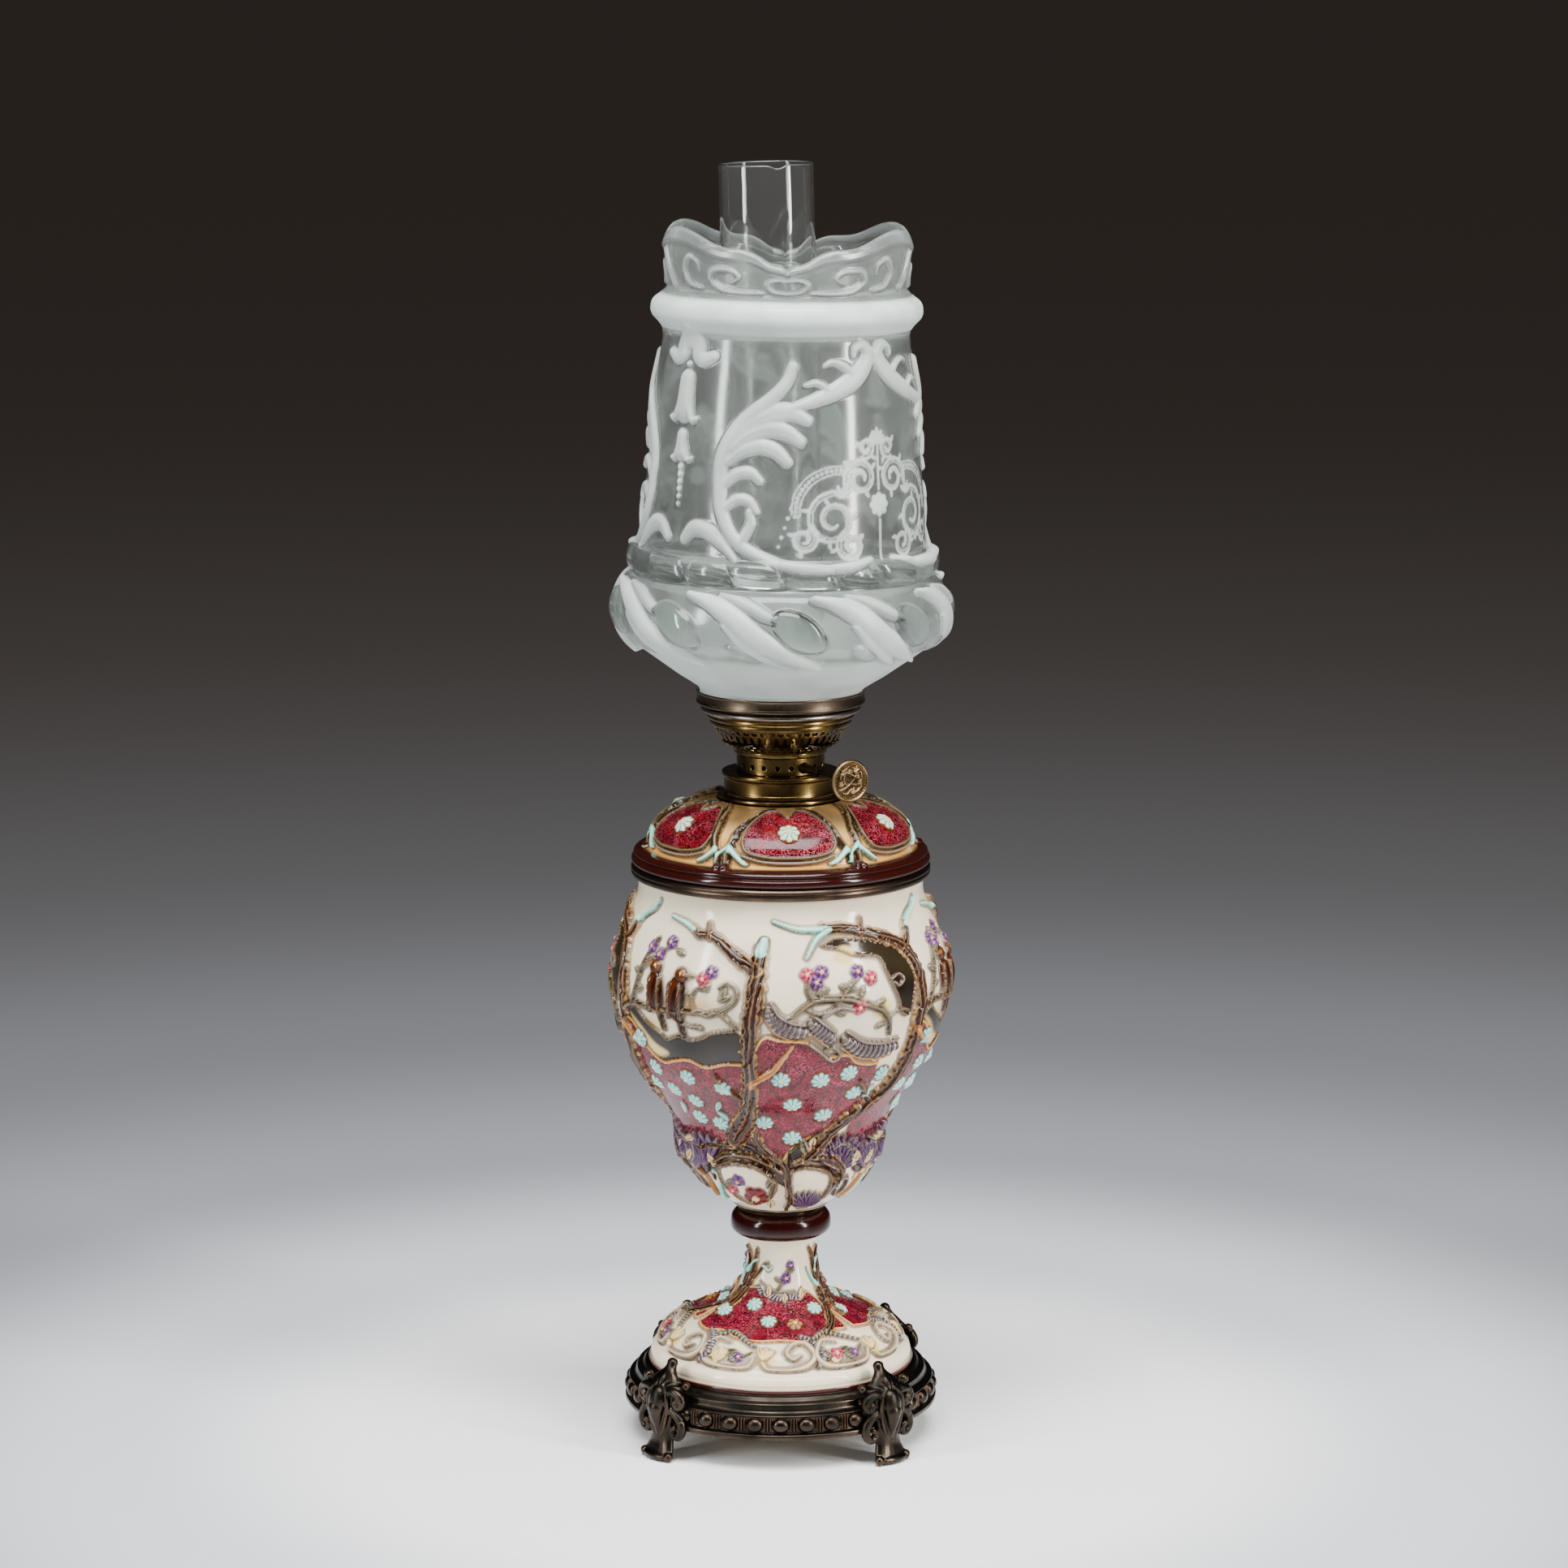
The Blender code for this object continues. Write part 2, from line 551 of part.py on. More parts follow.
def make_wick():
    """The flat wick curled round the inner tube, the ring that grips it and the rack that lifts it."""
    steps = 20
    spread = math.pi - WICK_SLIT / 2
    angles = [WINDER_ANGLE - math.pi / 2 - spread + 2 * spread * i / steps for i in range(steps + 1)]
    outer = [(WICK_OUTER * math.cos(a), WICK_OUTER * math.sin(a)) for a in angles]
    inner = [(WICK_INNER * math.cos(a), WICK_INNER * math.sin(a)) for a in reversed(angles)]
    low, high = 240.0, TUBE_TOP + 1.5
    wick = flat_plate("wick", [outer + inner], high - low, COTTON)
    wick.location.z = (low + high) / 2 * MM
    carrier = realise(turned("wick_carrier", [(16.6, 336.0), (16.6, 331.0), (14.5, 331.0), (14.5, 336.0)], BRASS))
    lug = box("carrier_lug", (15.6, -1.9, 331.5), (20.0, 1.9, 335.8))
    lug.matrix_world = Matrix.Translation(out_at(0, -4.2, 0) * MM) @ winder_yaw() @ lug.matrix_world
    combine(carrier, lug, "UNION")
    rack = flat_plate("wick_rack", [rack_outline(336.2, 388.5)], PINION_TO - PINION_FROM, BRASS)
    rack.data.transform(Matrix.Translation((0, -WINDER_HEIGHT * MM, (PINION_FROM + PINION_TO) / 2 * MM)))
    along_winder(rack)


# ---------------------------------------------------------------- glass

def leaning(obj, seat, angle):
    """Tilts a piece about its seat on the lamp's axis, to the right where the angle is positive."""
    pivot = Matrix.Translation((0, 0, seat * MM))
    obj.data.transform(pivot.inverted())
    obj.matrix_world = pivot @ Matrix.Rotation(angle, 4, "Y")


def lowest_edge(seat, radius, angle):
    """The height to build a leaning glass's bottom edge at, so that its lowest point just clears its seat."""
    return seat + GAP + radius * math.sin(abs(angle))


def make_chimney():
    """A straight-topped chimney with the nip above the flame."""
    wall = 1.6
    foot_radius = 30.6
    low = lowest_edge(CHIMNEY_SEAT, foot_radius, CHIMNEY_LEAN)
    nip = smooth_curve([(25.5, 456.0), (20.0, 439.0), (foot_radius, 423.0)], 3)
    outer = [(25.5, CHIMNEY_TOP), *nip, (foot_radius, low)]
    inner = [(r - wall, z) for r, z in reversed(outer)]
    leaning(turned("chimney", outer + inner, CLEAR), CHIMNEY_SEAT, CHIMNEY_LEAN)


def crown_share(angle):
    """The crown's height at this angle as a share of its tips: deep dips front and back, shallow ones each side."""
    lobe = abs(math.sin(angle)) ** 0.75
    side_dip = CROWN_SIDE_DIP * math.exp(-(math.cos(angle) / 0.28) ** 2)
    return CROWN_DIP + (1 - CROWN_DIP) * min(1.0, 1.12 * lobe * (1 - side_dip))


def make_shade():
    """The moulded shade: fitter, bowl, swirled bulge, rope ring, tapered wall, bead and scalloped crown."""
    fitter_radius = 44.5
    low = lowest_edge(SHADE_SEAT, fitter_radius, SHADE_LEAN)
    crown = [(66.2, SHADE_TOP), (65.8, 650.0), (64.6, 633.0)]
    bead = arc(67.4, 621.8, 5.4, 70, -70, 3)
    wall = [(66.4, 609.0), (75.2, 556.0), (76.6, 497.0)]
    rope = arc(78.2, 484.6, 6.6, 68, -60, 3)
    bulge = smooth_curve([(88.6, 476.8), (93.2, 463.0), (78.0, 440.4), (54.0, 423.4)], 2)
    fitter = [(fitter_radius, 417.4), (fitter_radius, low)]
    inside = [(41.0, low), (41.0, 419.6), (80.0, 448.4), (87.6, 463.0), (73.0, 487.0), (66.6, 580.0), (61.0, 612.0),
              (62.2, SHADE_TOP)]
    shade = realise(turned("shade", crown + bead + wall + rope + bulge + fitter + inside, SATIN, LARGE_STEPS))
    for vertex in shade.data.vertices:
        height = vertex.co.z / MM
        if height > CROWN_START:
            share = crown_share(math.atan2(vertex.co.y, vertex.co.x) + math.pi / 2)
            vertex.co.z = (CROWN_START + (height - CROWN_START) * share) * MM
    leaning(shade, SHADE_SEAT, SHADE_LEAN)


make_base()
make_vase()
make_font()
make_burner()
make_gallery()
make_winder()
make_wick()
make_chimney()
make_shade()
for piece in list(LAMP.objects):
    shade_by_angle(realise(piece))
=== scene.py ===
"""The looks of the oil lamp: glazed relief pottery, moulded glass, old brass and patinated bronze.

Lengths in the design below are millimetres. Places on a turned piece are (degrees, height). 0 degrees is the
lamp's front, -Y, and angles grow towards its right, +X. Heights are from the floor, as in the frame.
"""
import math

import bmesh
import bpy
import numpy as np
from mathutils import Matrix, Vector


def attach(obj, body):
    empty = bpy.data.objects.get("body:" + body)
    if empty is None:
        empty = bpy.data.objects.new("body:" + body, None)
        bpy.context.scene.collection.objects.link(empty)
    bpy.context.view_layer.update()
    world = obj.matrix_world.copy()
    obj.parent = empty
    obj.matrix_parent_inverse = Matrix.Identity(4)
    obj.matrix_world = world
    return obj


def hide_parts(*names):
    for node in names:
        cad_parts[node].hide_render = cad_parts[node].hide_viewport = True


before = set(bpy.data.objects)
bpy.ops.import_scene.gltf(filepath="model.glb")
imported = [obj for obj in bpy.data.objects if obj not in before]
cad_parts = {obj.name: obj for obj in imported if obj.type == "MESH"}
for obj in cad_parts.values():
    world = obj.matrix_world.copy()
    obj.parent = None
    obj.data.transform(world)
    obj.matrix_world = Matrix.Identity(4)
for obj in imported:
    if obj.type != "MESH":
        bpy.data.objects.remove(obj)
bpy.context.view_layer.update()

MM = 0.001
PIECES = bpy.data.collections.new("oil_lamp_looks")
bpy.context.scene.collection.children.link(PIECES)


def srgb(code):
    """A linear colour from an sRGB hex code."""
    values = [int(code[i:i + 2], 16) / 255 for i in (1, 3, 5)]
    return np.array([v / 12.92 if v <= 0.04045 else ((v + 0.055) / 1.055) ** 2.4 for v in values])


def tones(*codes):
    return tuple(srgb(code) for code in codes)


def smoothstep(low, high, value):
    share = np.clip((value - low) / (high - low), 0, 1)
    return share * share * (3 - 2 * share)


def blend(low, high, share):
    return np.asarray(low) * (1 - share) + np.asarray(high) * share


def rounded(q):
    """The height of a round-topped bar at this share of its half width."""
    return np.sqrt(np.clip(1 - q ** 2, 0, 1))


def smooth_path(points, steps=6):
    """A Catmull-Rom curve through the points."""
    points = np.array(points, float)
    ends = np.vstack([2 * points[0] - points[1], points, 2 * points[-1] - points[-2]])
    t = (np.arange(steps) / steps)[:, None]
    parts = []
    for a, b, c, d in zip(ends, ends[1:], ends[2:], ends[3:]):
        cubic = -a + 3 * b - 3 * c + d
        parts.append((2 * b + (c - a) * t + (2 * a - 5 * b + 4 * c - d) * t ** 2 + cubic * t ** 3) / 2)
    return np.vstack([*parts, points[-1:]])


def travelled_along(line):
    """How far along the line each of its points is."""
    return np.concatenate([[0], np.cumsum(np.linalg.norm(np.diff(line, axis=0), axis=1))])


def mesh_object(name, rings, closed_loop=True, attributes=None, keep=None):
    """A mesh from rings of points: each ring joins the next, and the last joins the first in a closed loop.

    Keep says which of its faces stay, for pierced work.
    """
    count, around = rings.shape[:2]
    index = np.arange(count * around).reshape(count, around)
    if closed_loop:
        index = np.vstack([index, index[:1]])
    index = np.hstack([index, index[:, :1]])
    corners = [index[:-1, :-1], index[:-1, 1:], index[1:, 1:], index[1:, :-1]]
    quads = np.stack(corners, axis=-1).reshape(-1, 4)
    if keep is not None:
        quads = quads[keep.ravel()]
    mesh = bpy.data.meshes.new(name)
    mesh.vertices.add(count * around)
    mesh.vertices.foreach_set("co", (rings * MM).astype(np.float32).ravel())
    mesh.loops.add(quads.size)
    mesh.loops.foreach_set("vertex_index", quads.astype(np.int32).ravel())
    mesh.polygons.add(len(quads))
    mesh.polygons.foreach_set("loop_start", np.arange(0, quads.size, 4, dtype=np.int32))
    mesh.update(calc_edges=True)
    mesh.validate()
    mesh.shade_smooth()
    for key, values in (attributes or {}).items():
        colour = values.ndim == 3
        layer = mesh.attributes.new(key, "FLOAT_COLOR" if colour else "FLOAT", "POINT")
        if colour:
            values = np.concatenate([values, np.ones((*values.shape[:2], 1))], axis=2)
        layer.data.foreach_set("color" if colour else "value", values.astype(np.float32).ravel())
    return add_piece(name, mesh)


def add_piece(name, mesh):
    obj = bpy.data.objects.new(name, mesh)
    PIECES.objects.link(obj)
    return obj


def dress(obj, material):
    obj.data.materials.clear()
    obj.data.materials.append(material)


def settle(obj, body, slot, material, *nodes):
    """Gives a piece its material, the body it rides on and the CAD nodes it stands for. Its slot argument is not
    used.
    """
    dress(obj, material)
    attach(obj, body)
    if nodes:
        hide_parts(*nodes)
    return obj


def spun(outline, columns):
    """Rings of points of an outline spun round the lamp's axis, ordered so that the faces point out."""
    outline = np.array(outline, float)
    r, z = outline[:, 0], outline[:, 1]
    if (r * np.roll(z, -1) - np.roll(r, -1) * z).sum() < 0:
        outline = outline[::-1]
    angles = np.arange(columns) * math.tau / columns
    r, z = outline[:, :1], outline[:, 1:]
    return np.stack([r * np.sin(angles), -r * np.cos(angles), z + 0 * angles], axis=-1)


def round_corners(outline, size, steps=3):
    """An outline with each corner cut back by up to this size and rounded."""
    points = [np.array(p, float) for p in outline]
    made = []
    for before, here, after in zip(points[-1:] + points[:-1], points, points[1:] + points[:1]):
        a, b = before - here, after - here
        back = min(size, np.linalg.norm(a) * 0.45, np.linalg.norm(b) * 0.45)
        p, q = here + a / np.linalg.norm(a) * back, here + b / np.linalg.norm(b) * back
        for t in np.linspace(0, 1, steps + 1):
            made.append((1 - t) ** 2 * p + 2 * t * (1 - t) * here + t ** 2 * q)
    return np.array(made)


# ---------------------------------------------------------------- relief

class Relief:
    """The outer surface of a turned piece, one repeat of its pattern wide, which strokes raise and colour.

    The surface runs up an outline from the bottom. Its ground and its raised parts are kept apart, so that
    crossing strokes don't pile up.
    """

    def __init__(self, outline, step, columns, repeats, start, colour, seed):
        dense = smooth_path(outline, 12)
        travelled = travelled_along(dense)
        self.along = np.linspace(0, travelled[-1], int(travelled[-1] / step) + 2)
        self.radius = np.interp(self.along, travelled, dense[:, 0])
        self.up = np.interp(self.along, travelled, dense[:, 1])
        slope_r, slope_z = np.gradient(self.radius, self.along), np.gradient(self.up, self.along)
        length = np.hypot(slope_r, slope_z)
        self.normal = np.stack([slope_z / length, -slope_r / length], axis=1)
        self.step, self.repeats = step, repeats
        self.period = 360 / repeats
        self.angles = start + np.arange(columns) * self.period / columns
        shape = (len(self.along), columns)
        self.ground = np.zeros(shape)
        self.raised = np.zeros(shape)
        self.mask = np.zeros(shape)
        self.paint = np.tile(colour, (*shape, 1))
        self.rng = np.random.default_rng(seed)
        self.grain = self.noise(0.8)
        self.drift = self.noise(5.0)
        self.everywhere = np.ix_(range(shape[0]), range(columns))

    def noise(self, size):
        """Smooth noise of about this size, from -1 to 1, that wraps round."""
        rows, columns = self.ground.shape
        field = self.blur(self.rng.standard_normal((rows, columns)), size)
        return np.clip(field / (field.std() * 2.2), -1, 1)

    def blur(self, field, size):
        """A Gaussian blur of this size that wraps round and reflects at the top and the bottom."""
        rows, columns = field.shape
        column_step = math.radians(self.period / columns) * self.radius.mean()
        stacked = np.vstack([field, field[::-1]])
        up = np.fft.fftfreq(2 * rows, self.step)[:, None]
        across = np.fft.rfftfreq(columns, column_step)[None, :]
        keep = np.exp(-2 * (math.pi * size) ** 2 * (up ** 2 + across ** 2))
        return np.fft.irfft2(np.fft.rfft2(stacked) * keep, s=stacked.shape)[:rows]

    def length_at(self, height):
        return np.interp(height, self.up, self.along)

    def window(self, middle, half, low, high, reach):
        """The rows and columns within reach of a stretch, and each column's degrees from the middle."""
        first = max(0, np.searchsorted(self.along, low - reach) - 1)
        last = min(len(self.along), np.searchsorted(self.along, high + reach) + 1)
        rows = np.arange(first, last)
        spread = half + math.degrees(reach / max(3.0, self.radius[rows].min()))
        away = (self.angles - middle + self.period / 2) % self.period - self.period / 2
        columns = np.nonzero(np.abs(away) <= spread)[0]
        return rows, columns, away[columns]

    def near_path(self, path, reach):
        """For the cells near a path: their index, distance, share along the path and side of it, -1 to 1."""
        angles, lengths = path[:, 0], self.length_at(path[:, 1])
        middle, half = (angles.min() + angles.max()) / 2, np.ptp(angles) / 2
        rows, columns, away = self.window(middle, half, lengths.min(), lengths.max(), reach)
        scale = (np.radians(1) * self.radius[rows])[:, None]
        here = self.along[rows][:, None]
        best = np.full((len(rows), len(columns)), 1e9)
        share, side = np.zeros_like(best), np.zeros_like(best)
        sizes = np.hypot(np.diff(angles) * math.radians(self.radius.mean()), np.diff(lengths))
        starts = np.concatenate([[0], np.cumsum(sizes)]) / max(sizes.sum(), 1e-6)
        for i in range(len(path) - 1):
            ax, ay = (angles[i] - middle - away)[None, :] * scale, lengths[i] - here
            bx, by = (angles[i + 1] - angles[i]) * scale, lengths[i + 1] - lengths[i]
            t = np.clip(-(ax * bx + ay * by) / (bx * bx + by * by + 1e-12), 0, 1)
            dx, dy = ax + t * bx, ay + t * by
            distance = np.hypot(dx, dy)
            nearer = distance < best
            best = np.where(nearer, distance, best)
            share = np.where(nearer, starts[i] + t * (starts[i + 1] - starts[i]), share)
            side = np.where(nearer, np.sign(bx * dy - by * dx), side)
        return np.ix_(rows, columns), best, share, side

    def around(self, place, reach, turn=0.0):
        """For the cells round a place: their index, and how far along and across a direction from it they are."""
        angle, length = place[0], self.length_at(place[1])
        rows, columns, away = self.window(angle, 0, length, length, reach)
        x = away[None, :] * (np.radians(1) * self.radius[rows])[:, None]
        y = np.repeat((self.along[rows] - length)[:, None], len(columns), axis=1)
        cos, sin = math.cos(math.radians(turn)), math.sin(math.radians(turn))
        return np.ix_(rows, columns), x * cos + y * sin, -x * sin + y * cos

    def colour(self, cells, cover, colour):
        self.paint[cells] = blend(self.paint[cells], colour, np.clip(cover, 0, 1)[..., None])

    def set_mask(self, cells, cover, value):
        self.mask[cells] = blend(self.mask[cells], value, np.clip(cover, 0, 1))

    def lift(self, cells, height):
        self.raised[cells] = np.maximum(self.raised[cells], height)

    def region(self, corners, colour, height=0.0, soft=0.5, mask=None, shade=None):
        """Fills a closed outline with colour, drifting to shade in patches, and raises its ground."""
        path = smooth_path([*corners, corners[0]], 5)
        cells, distance, _, _ = self.near_path(path, 3.0 + soft)
        inside = self.inside(path, cells)
        signed = np.where(inside, distance, -distance)
        cover = smoothstep(-soft / 2, soft / 2, signed)
        if shade is not None:
            colour = blend(colour, shade, np.clip(0.5 + 0.7 * self.drift[cells], 0, 1)[..., None])
        self.colour(cells, cover, colour)
        self.ground[cells] += height * smoothstep(-0.2, 1.2, signed)
        if mask is not None:
            self.set_mask(cells, cover, mask)

    def inside(self, path, cells):
        rows, columns = cells[0].ravel(), cells[1].ravel()
        middle = (path[:, 0].min() + path[:, 0].max()) / 2
        away = (self.angles[columns] - middle + self.period / 2) % self.period - self.period / 2
        x, y = (middle + away)[None, :], self.along[rows][:, None]
        lengths = self.length_at(path[:, 1])
        crossings = np.zeros((len(rows), len(columns)), int)
        for x0, y0, x1, y1 in zip(path[:-1, 0], lengths[:-1], path[1:, 0], lengths[1:]):
            if y0 == y1:
                continue
            between = (y0 <= y) != (y1 <= y)
            crossings += between & (x < x0 + (y - y0) * (x1 - x0) / (y1 - y0))
        return crossings % 2 == 1

    def stroke(self, points, widths, height, colours, ridges=0, mask=0.0, roughen=0.0, ribs=0):
        """A raised bar along a curve, with colours for its crest, its sides and its edge.

        Widths are spread evenly along it.

        Ridges are grooves along the bar, as in bark, and ribs are bars across it, as on a comb.
        """
        path = smooth_path(points)
        widths = np.atleast_1d(widths).astype(float)
        cells, distance, share, side = self.near_path(path, widths.max() / 2 + 1.0)
        half = np.interp(share, np.linspace(0, 1, len(widths)), widths) / 2
        half = half * (1 + roughen * self.grain[cells])
        q = distance / np.maximum(half, 0.05)
        crest, middle, edge = colours
        pattern = np.zeros_like(q)
        if ridges:
            wander = 0.35 * self.grain[cells] + 1.1 * self.drift[cells]
            pattern = 0.5 - 0.5 * np.cos(side * q * math.pi * ridges + wander * 2.4)
        if ribs:
            pattern = 0.5 - 0.5 * np.cos(share * math.tau * ribs + side * q * 1.1)
        self.lift(cells, height * rounded(q) * (1 - 0.26 * pattern))
        fill = blend(edge, middle, smoothstep(0.98, 0.80, q + 0.06 * self.grain[cells])[..., None])
        if ridges:
            light = np.clip((1 - pattern) * 2.2 - 1.5 + 0.45 * self.drift[cells], 0, 1)
            light = light * smoothstep(0.9, 0.5, q)
        elif ribs:
            light = np.clip((1 - pattern) * 3.4 - 0.5, 0, 1)
        else:
            light = np.clip(1 - q * 2.2, 0, 1) * 0.85
        self.colour(cells, smoothstep(1.06, 0.94, q), blend(fill, crest, light[..., None]))
        self.set_mask(cells, smoothstep(1.06, 0.94, q), mask)

    def flower(self, place, radius, petals, height, colours, turn=0.0, mask=0.0):
        """A round flower of notched petals. Colours are its centre, its petals and the lines between them."""
        cells, x, y = self.around(place, radius * 1.3)
        rho, angle = np.hypot(x, y), np.arctan2(y, x) + turn
        petal = np.abs(np.cos(angle * petals / 2))
        q = rho / (radius * (0.74 + 0.26 * petal ** 0.7))
        heart = smoothstep(0.30, 0.22, rho / radius)
        self.lift(cells, height * (rounded(q) * (0.6 + 0.4 * petal) + 0.25 * heart))
        centre, leaf, line = colours
        groove = smoothstep(0.34, 0.10, petal) * smoothstep(0.15, 0.35, rho / radius)
        fill = blend(blend(leaf, line, groove[..., None]), centre, heart[..., None])
        self.colour(cells, smoothstep(1.04, 0.94, q), fill)
        self.set_mask(cells, smoothstep(1.25, 1.05, q), mask)

    def leaf(self, place, length, width, turn, height, colours, mask=0.0):
        """A pointed leaf that grows from its place in the direction of turn, in degrees up from the right."""
        cells, x, y = self.around(place, length + 1, turn)
        u, v = x / length, y
        half = width / 2 * np.sin(math.pi * np.clip(u, 0.001, 0.999)) ** 0.75
        q = np.where((u > 0) & (u < 1), np.abs(v) / np.maximum(half, 0.05), 9)
        vein = smoothstep(0.22, 0.0, q)
        self.lift(cells, height * rounded(q) * (1 - 0.45 * vein))
        crest, body = colours
        fill = blend(crest, body, np.clip(np.abs(q - 0.55) * 2, 0, 1)[..., None])
        self.colour(cells, smoothstep(1.05, 0.9, q), fill)
        self.set_mask(cells, smoothstep(1.05, 0.9, q), mask)

    def oval(self, place, length, width, turn, height, colour, edge=None, mask=0.0):
        """A raised oval."""
        cells, x, y = self.around(place, length / 2 + 1, turn)
        q = np.hypot(x / (length / 2), y / (width / 2))
        self.lift(cells, height * rounded(q))
        if edge is not None:
            colour = blend(colour, edge, smoothstep(0.75, 1, q)[..., None])
        self.colour(cells, smoothstep(1.06, 0.94, q), colour)
        self.set_mask(cells, smoothstep(1.06, 0.94, q), mask)

    def pool(self, dark, light, strength=1.0):
        """Runs glaze stain into the corners at the foot of the relief, as pooled glaze and as painted shade
        there, and paints a pale highlight on the crests.
        """
        surface = self.ground + self.raised
        hollow = self.blur(surface, 0.9) - surface
        # Hollows darken: pooled glaze stain, and painted shade in the recesses.
        pooled_stain_and_shade = smoothstep(0.05, 0.26, hollow) * strength * (0.75 + 0.25 * self.drift)
        # Crests lighten: a painted highlight on the raised relief.
        crest = smoothstep(0.16, 0.55, -hollow) * strength
        self.colour(self.everywhere, crest * 0.12, light)
        self.colour(self.everywhere, pooled_stain_and_shade * 0.9, dark)

    def rings(self, inner, inner_colour, extra=None):
        """All the piece's rings of points, outside then inside, with their paint and mask.

        Extra is a function that moves the outside's radius and height arrays.
        """
        surface = np.tile(self.ground + self.raised, (1, self.repeats))
        columns = surface.shape[1]
        angles = self.angles[0] + np.arange(columns) * 360 / columns
        r = self.radius[:, None] + surface * self.normal[:, :1]
        z = self.up[:, None] + surface * self.normal[:, 1:]
        inner = np.array(inner, float)
        r = np.vstack([r, np.repeat(inner[:, :1], columns, axis=1)])
        z = np.vstack([z, np.repeat(inner[:, 1:2], columns, axis=1)])
        if extra is not None:
            r, z = extra(r, z, angles)
        turn = np.radians(angles)[None, :]
        points = np.stack([r * np.sin(turn), -r * np.cos(turn), z], axis=-1)
        paint = np.tile(self.paint, (1, self.repeats, 1))
        paint = np.vstack([paint, np.tile(inner_colour, (len(inner), columns, 1))])
        mask = np.tile(self.mask, (1, self.repeats))
        inner_mask = inner[:, 2:3] if inner.shape[1] > 2 else np.zeros((len(inner), 1))
        mask = np.vstack([mask, np.repeat(inner_mask, columns, axis=1)])
        return points, {"paint": paint, "mask": mask}


# ---------------------------------------------------------------- materials

class Nodes:
    """A small helper that builds a material's nodes."""

    def __init__(self, name):
        self.material = bpy.data.materials.new(name)
        self.material.use_nodes = True
        self.tree = self.material.node_tree
        self.shader = self.tree.nodes["Principled BSDF"]

    def add(self, kind, inputs=None, **settings):
        node = self.tree.nodes.new(kind)
        for key, value in settings.items():
            setattr(node, key, value)
        for key, value in (inputs or {}).items():
            self.put(node.inputs[key], value)
        return node

    def put(self, socket, value):
        if isinstance(value, bpy.types.NodeSocket):
            self.tree.links.new(value, socket)
        else:
            socket.default_value = value

    def set(self, **values):
        for key, value in values.items():
            self.put(self.shader.inputs[key.replace("_", " ")], value)

    def place(self):
        return self.add("ShaderNodeTexCoord").outputs["Object"]

    def noise(self, scale, detail=3.0, stretch=None):
        vector = self.place()
        if stretch is not None:
            vector = self.add("ShaderNodeMapping", {"Vector": vector, "Scale": stretch}).outputs["Vector"]
        node = self.add("ShaderNodeTexNoise", {"Vector": vector, "Scale": scale, "Detail": detail})
        return node.outputs["Fac"]

    def cell_edges(self, scale):
        node = self.add("ShaderNodeTexVoronoi", {"Vector": self.place(), "Scale": scale},
                        feature="DISTANCE_TO_EDGE")
        return node.outputs["Distance"]

    def span(self, value, from_low, from_high, to_low, to_high):
        node = self.add("ShaderNodeMapRange", {"Value": value, "From Min": from_low, "From Max": from_high,
                                               "To Min": to_low, "To Max": to_high})
        return node.outputs["Result"]

    def maths(self, operation, a, b):
        node = self.add("ShaderNodeMath", operation=operation)
        self.put(node.inputs[0], a)
        self.put(node.inputs[1], b)
        return node.outputs["Value"]

    def mix(self, amount, a, b, blend="MIX"):
        node = self.add("ShaderNodeMix", data_type="RGBA", blend_type=blend)
        self.put(node.inputs["Factor"], amount)
        for socket, value in ((node.inputs["A"], a), (node.inputs["B"], b)):
            target = [s for s in node.inputs if s.name == socket.name and s.type == "RGBA"][0]
            self.put(target, value if isinstance(value, bpy.types.NodeSocket) else (*value, 1.0))
        return [s for s in node.outputs if s.type == "RGBA"][0]

    def attribute(self, name, output="Color"):
        return self.add("ShaderNodeAttribute", attribute_name=name).outputs[output]

    def bump(self, height, strength, distance):
        node = self.add("ShaderNodeBump", {"Height": height, "Strength": strength, "Distance": distance})
        self.put(self.shader.inputs["Normal"], node.outputs["Normal"])


def glaze_material():
    """Lead glaze over painted relief, with a fine craze and a stippled lustre where the mask is set."""
    n = Nodes("relief_glaze")
    paint = n.attribute("paint")
    stipple = n.attribute("mask", "Fac")
    worms = n.noise(620.0, 2.0)
    line = n.span(n.maths("ABSOLUTE", n.maths("SUBTRACT", worms, 0.5), 0.0), 0.010, 0.042, 1.0, 0.0)
    patch = n.span(n.noise(110.0, 2.0), 0.40, 0.62, 0.25, 1.0)
    light = n.maths("MULTIPLY", n.maths("MULTIPLY", line, patch), n.maths("MULTIPLY", stipple, 0.75))
    dark = n.maths("MULTIPLY", n.span(n.noise(260.0, 2.0), 0.46, 0.60, 0.0, 0.9), stipple)
    base = n.mix(dark, paint, srgb("#30040c"))
    base = n.mix(light, base, srgb("#d05a70"))
    craze = n.span(n.cell_edges(140.0), 0.0, 0.012, 0.10, 0.0)
    base = n.mix(craze, base, srgb("#6b4a30"))
    base = n.mix(n.span(n.noise(28.0, 4.0), 0.35, 0.70, 0.0, 0.16), base, srgb("#b89468"), "MULTIPLY")
    n.set(Base_Color=base, Roughness=n.span(n.noise(45.0, 3.0), 0.3, 0.7, 0.07, 0.16))
    n.shader.inputs["IOR"].default_value = 1.39
    height = n.maths("ADD", n.maths("MULTIPLY", n.noise(160.0, 2.0), 0.4), n.maths("MULTIPLY", light, 0.8))
    n.bump(height, 0.30, 0.0004)
    return n.material


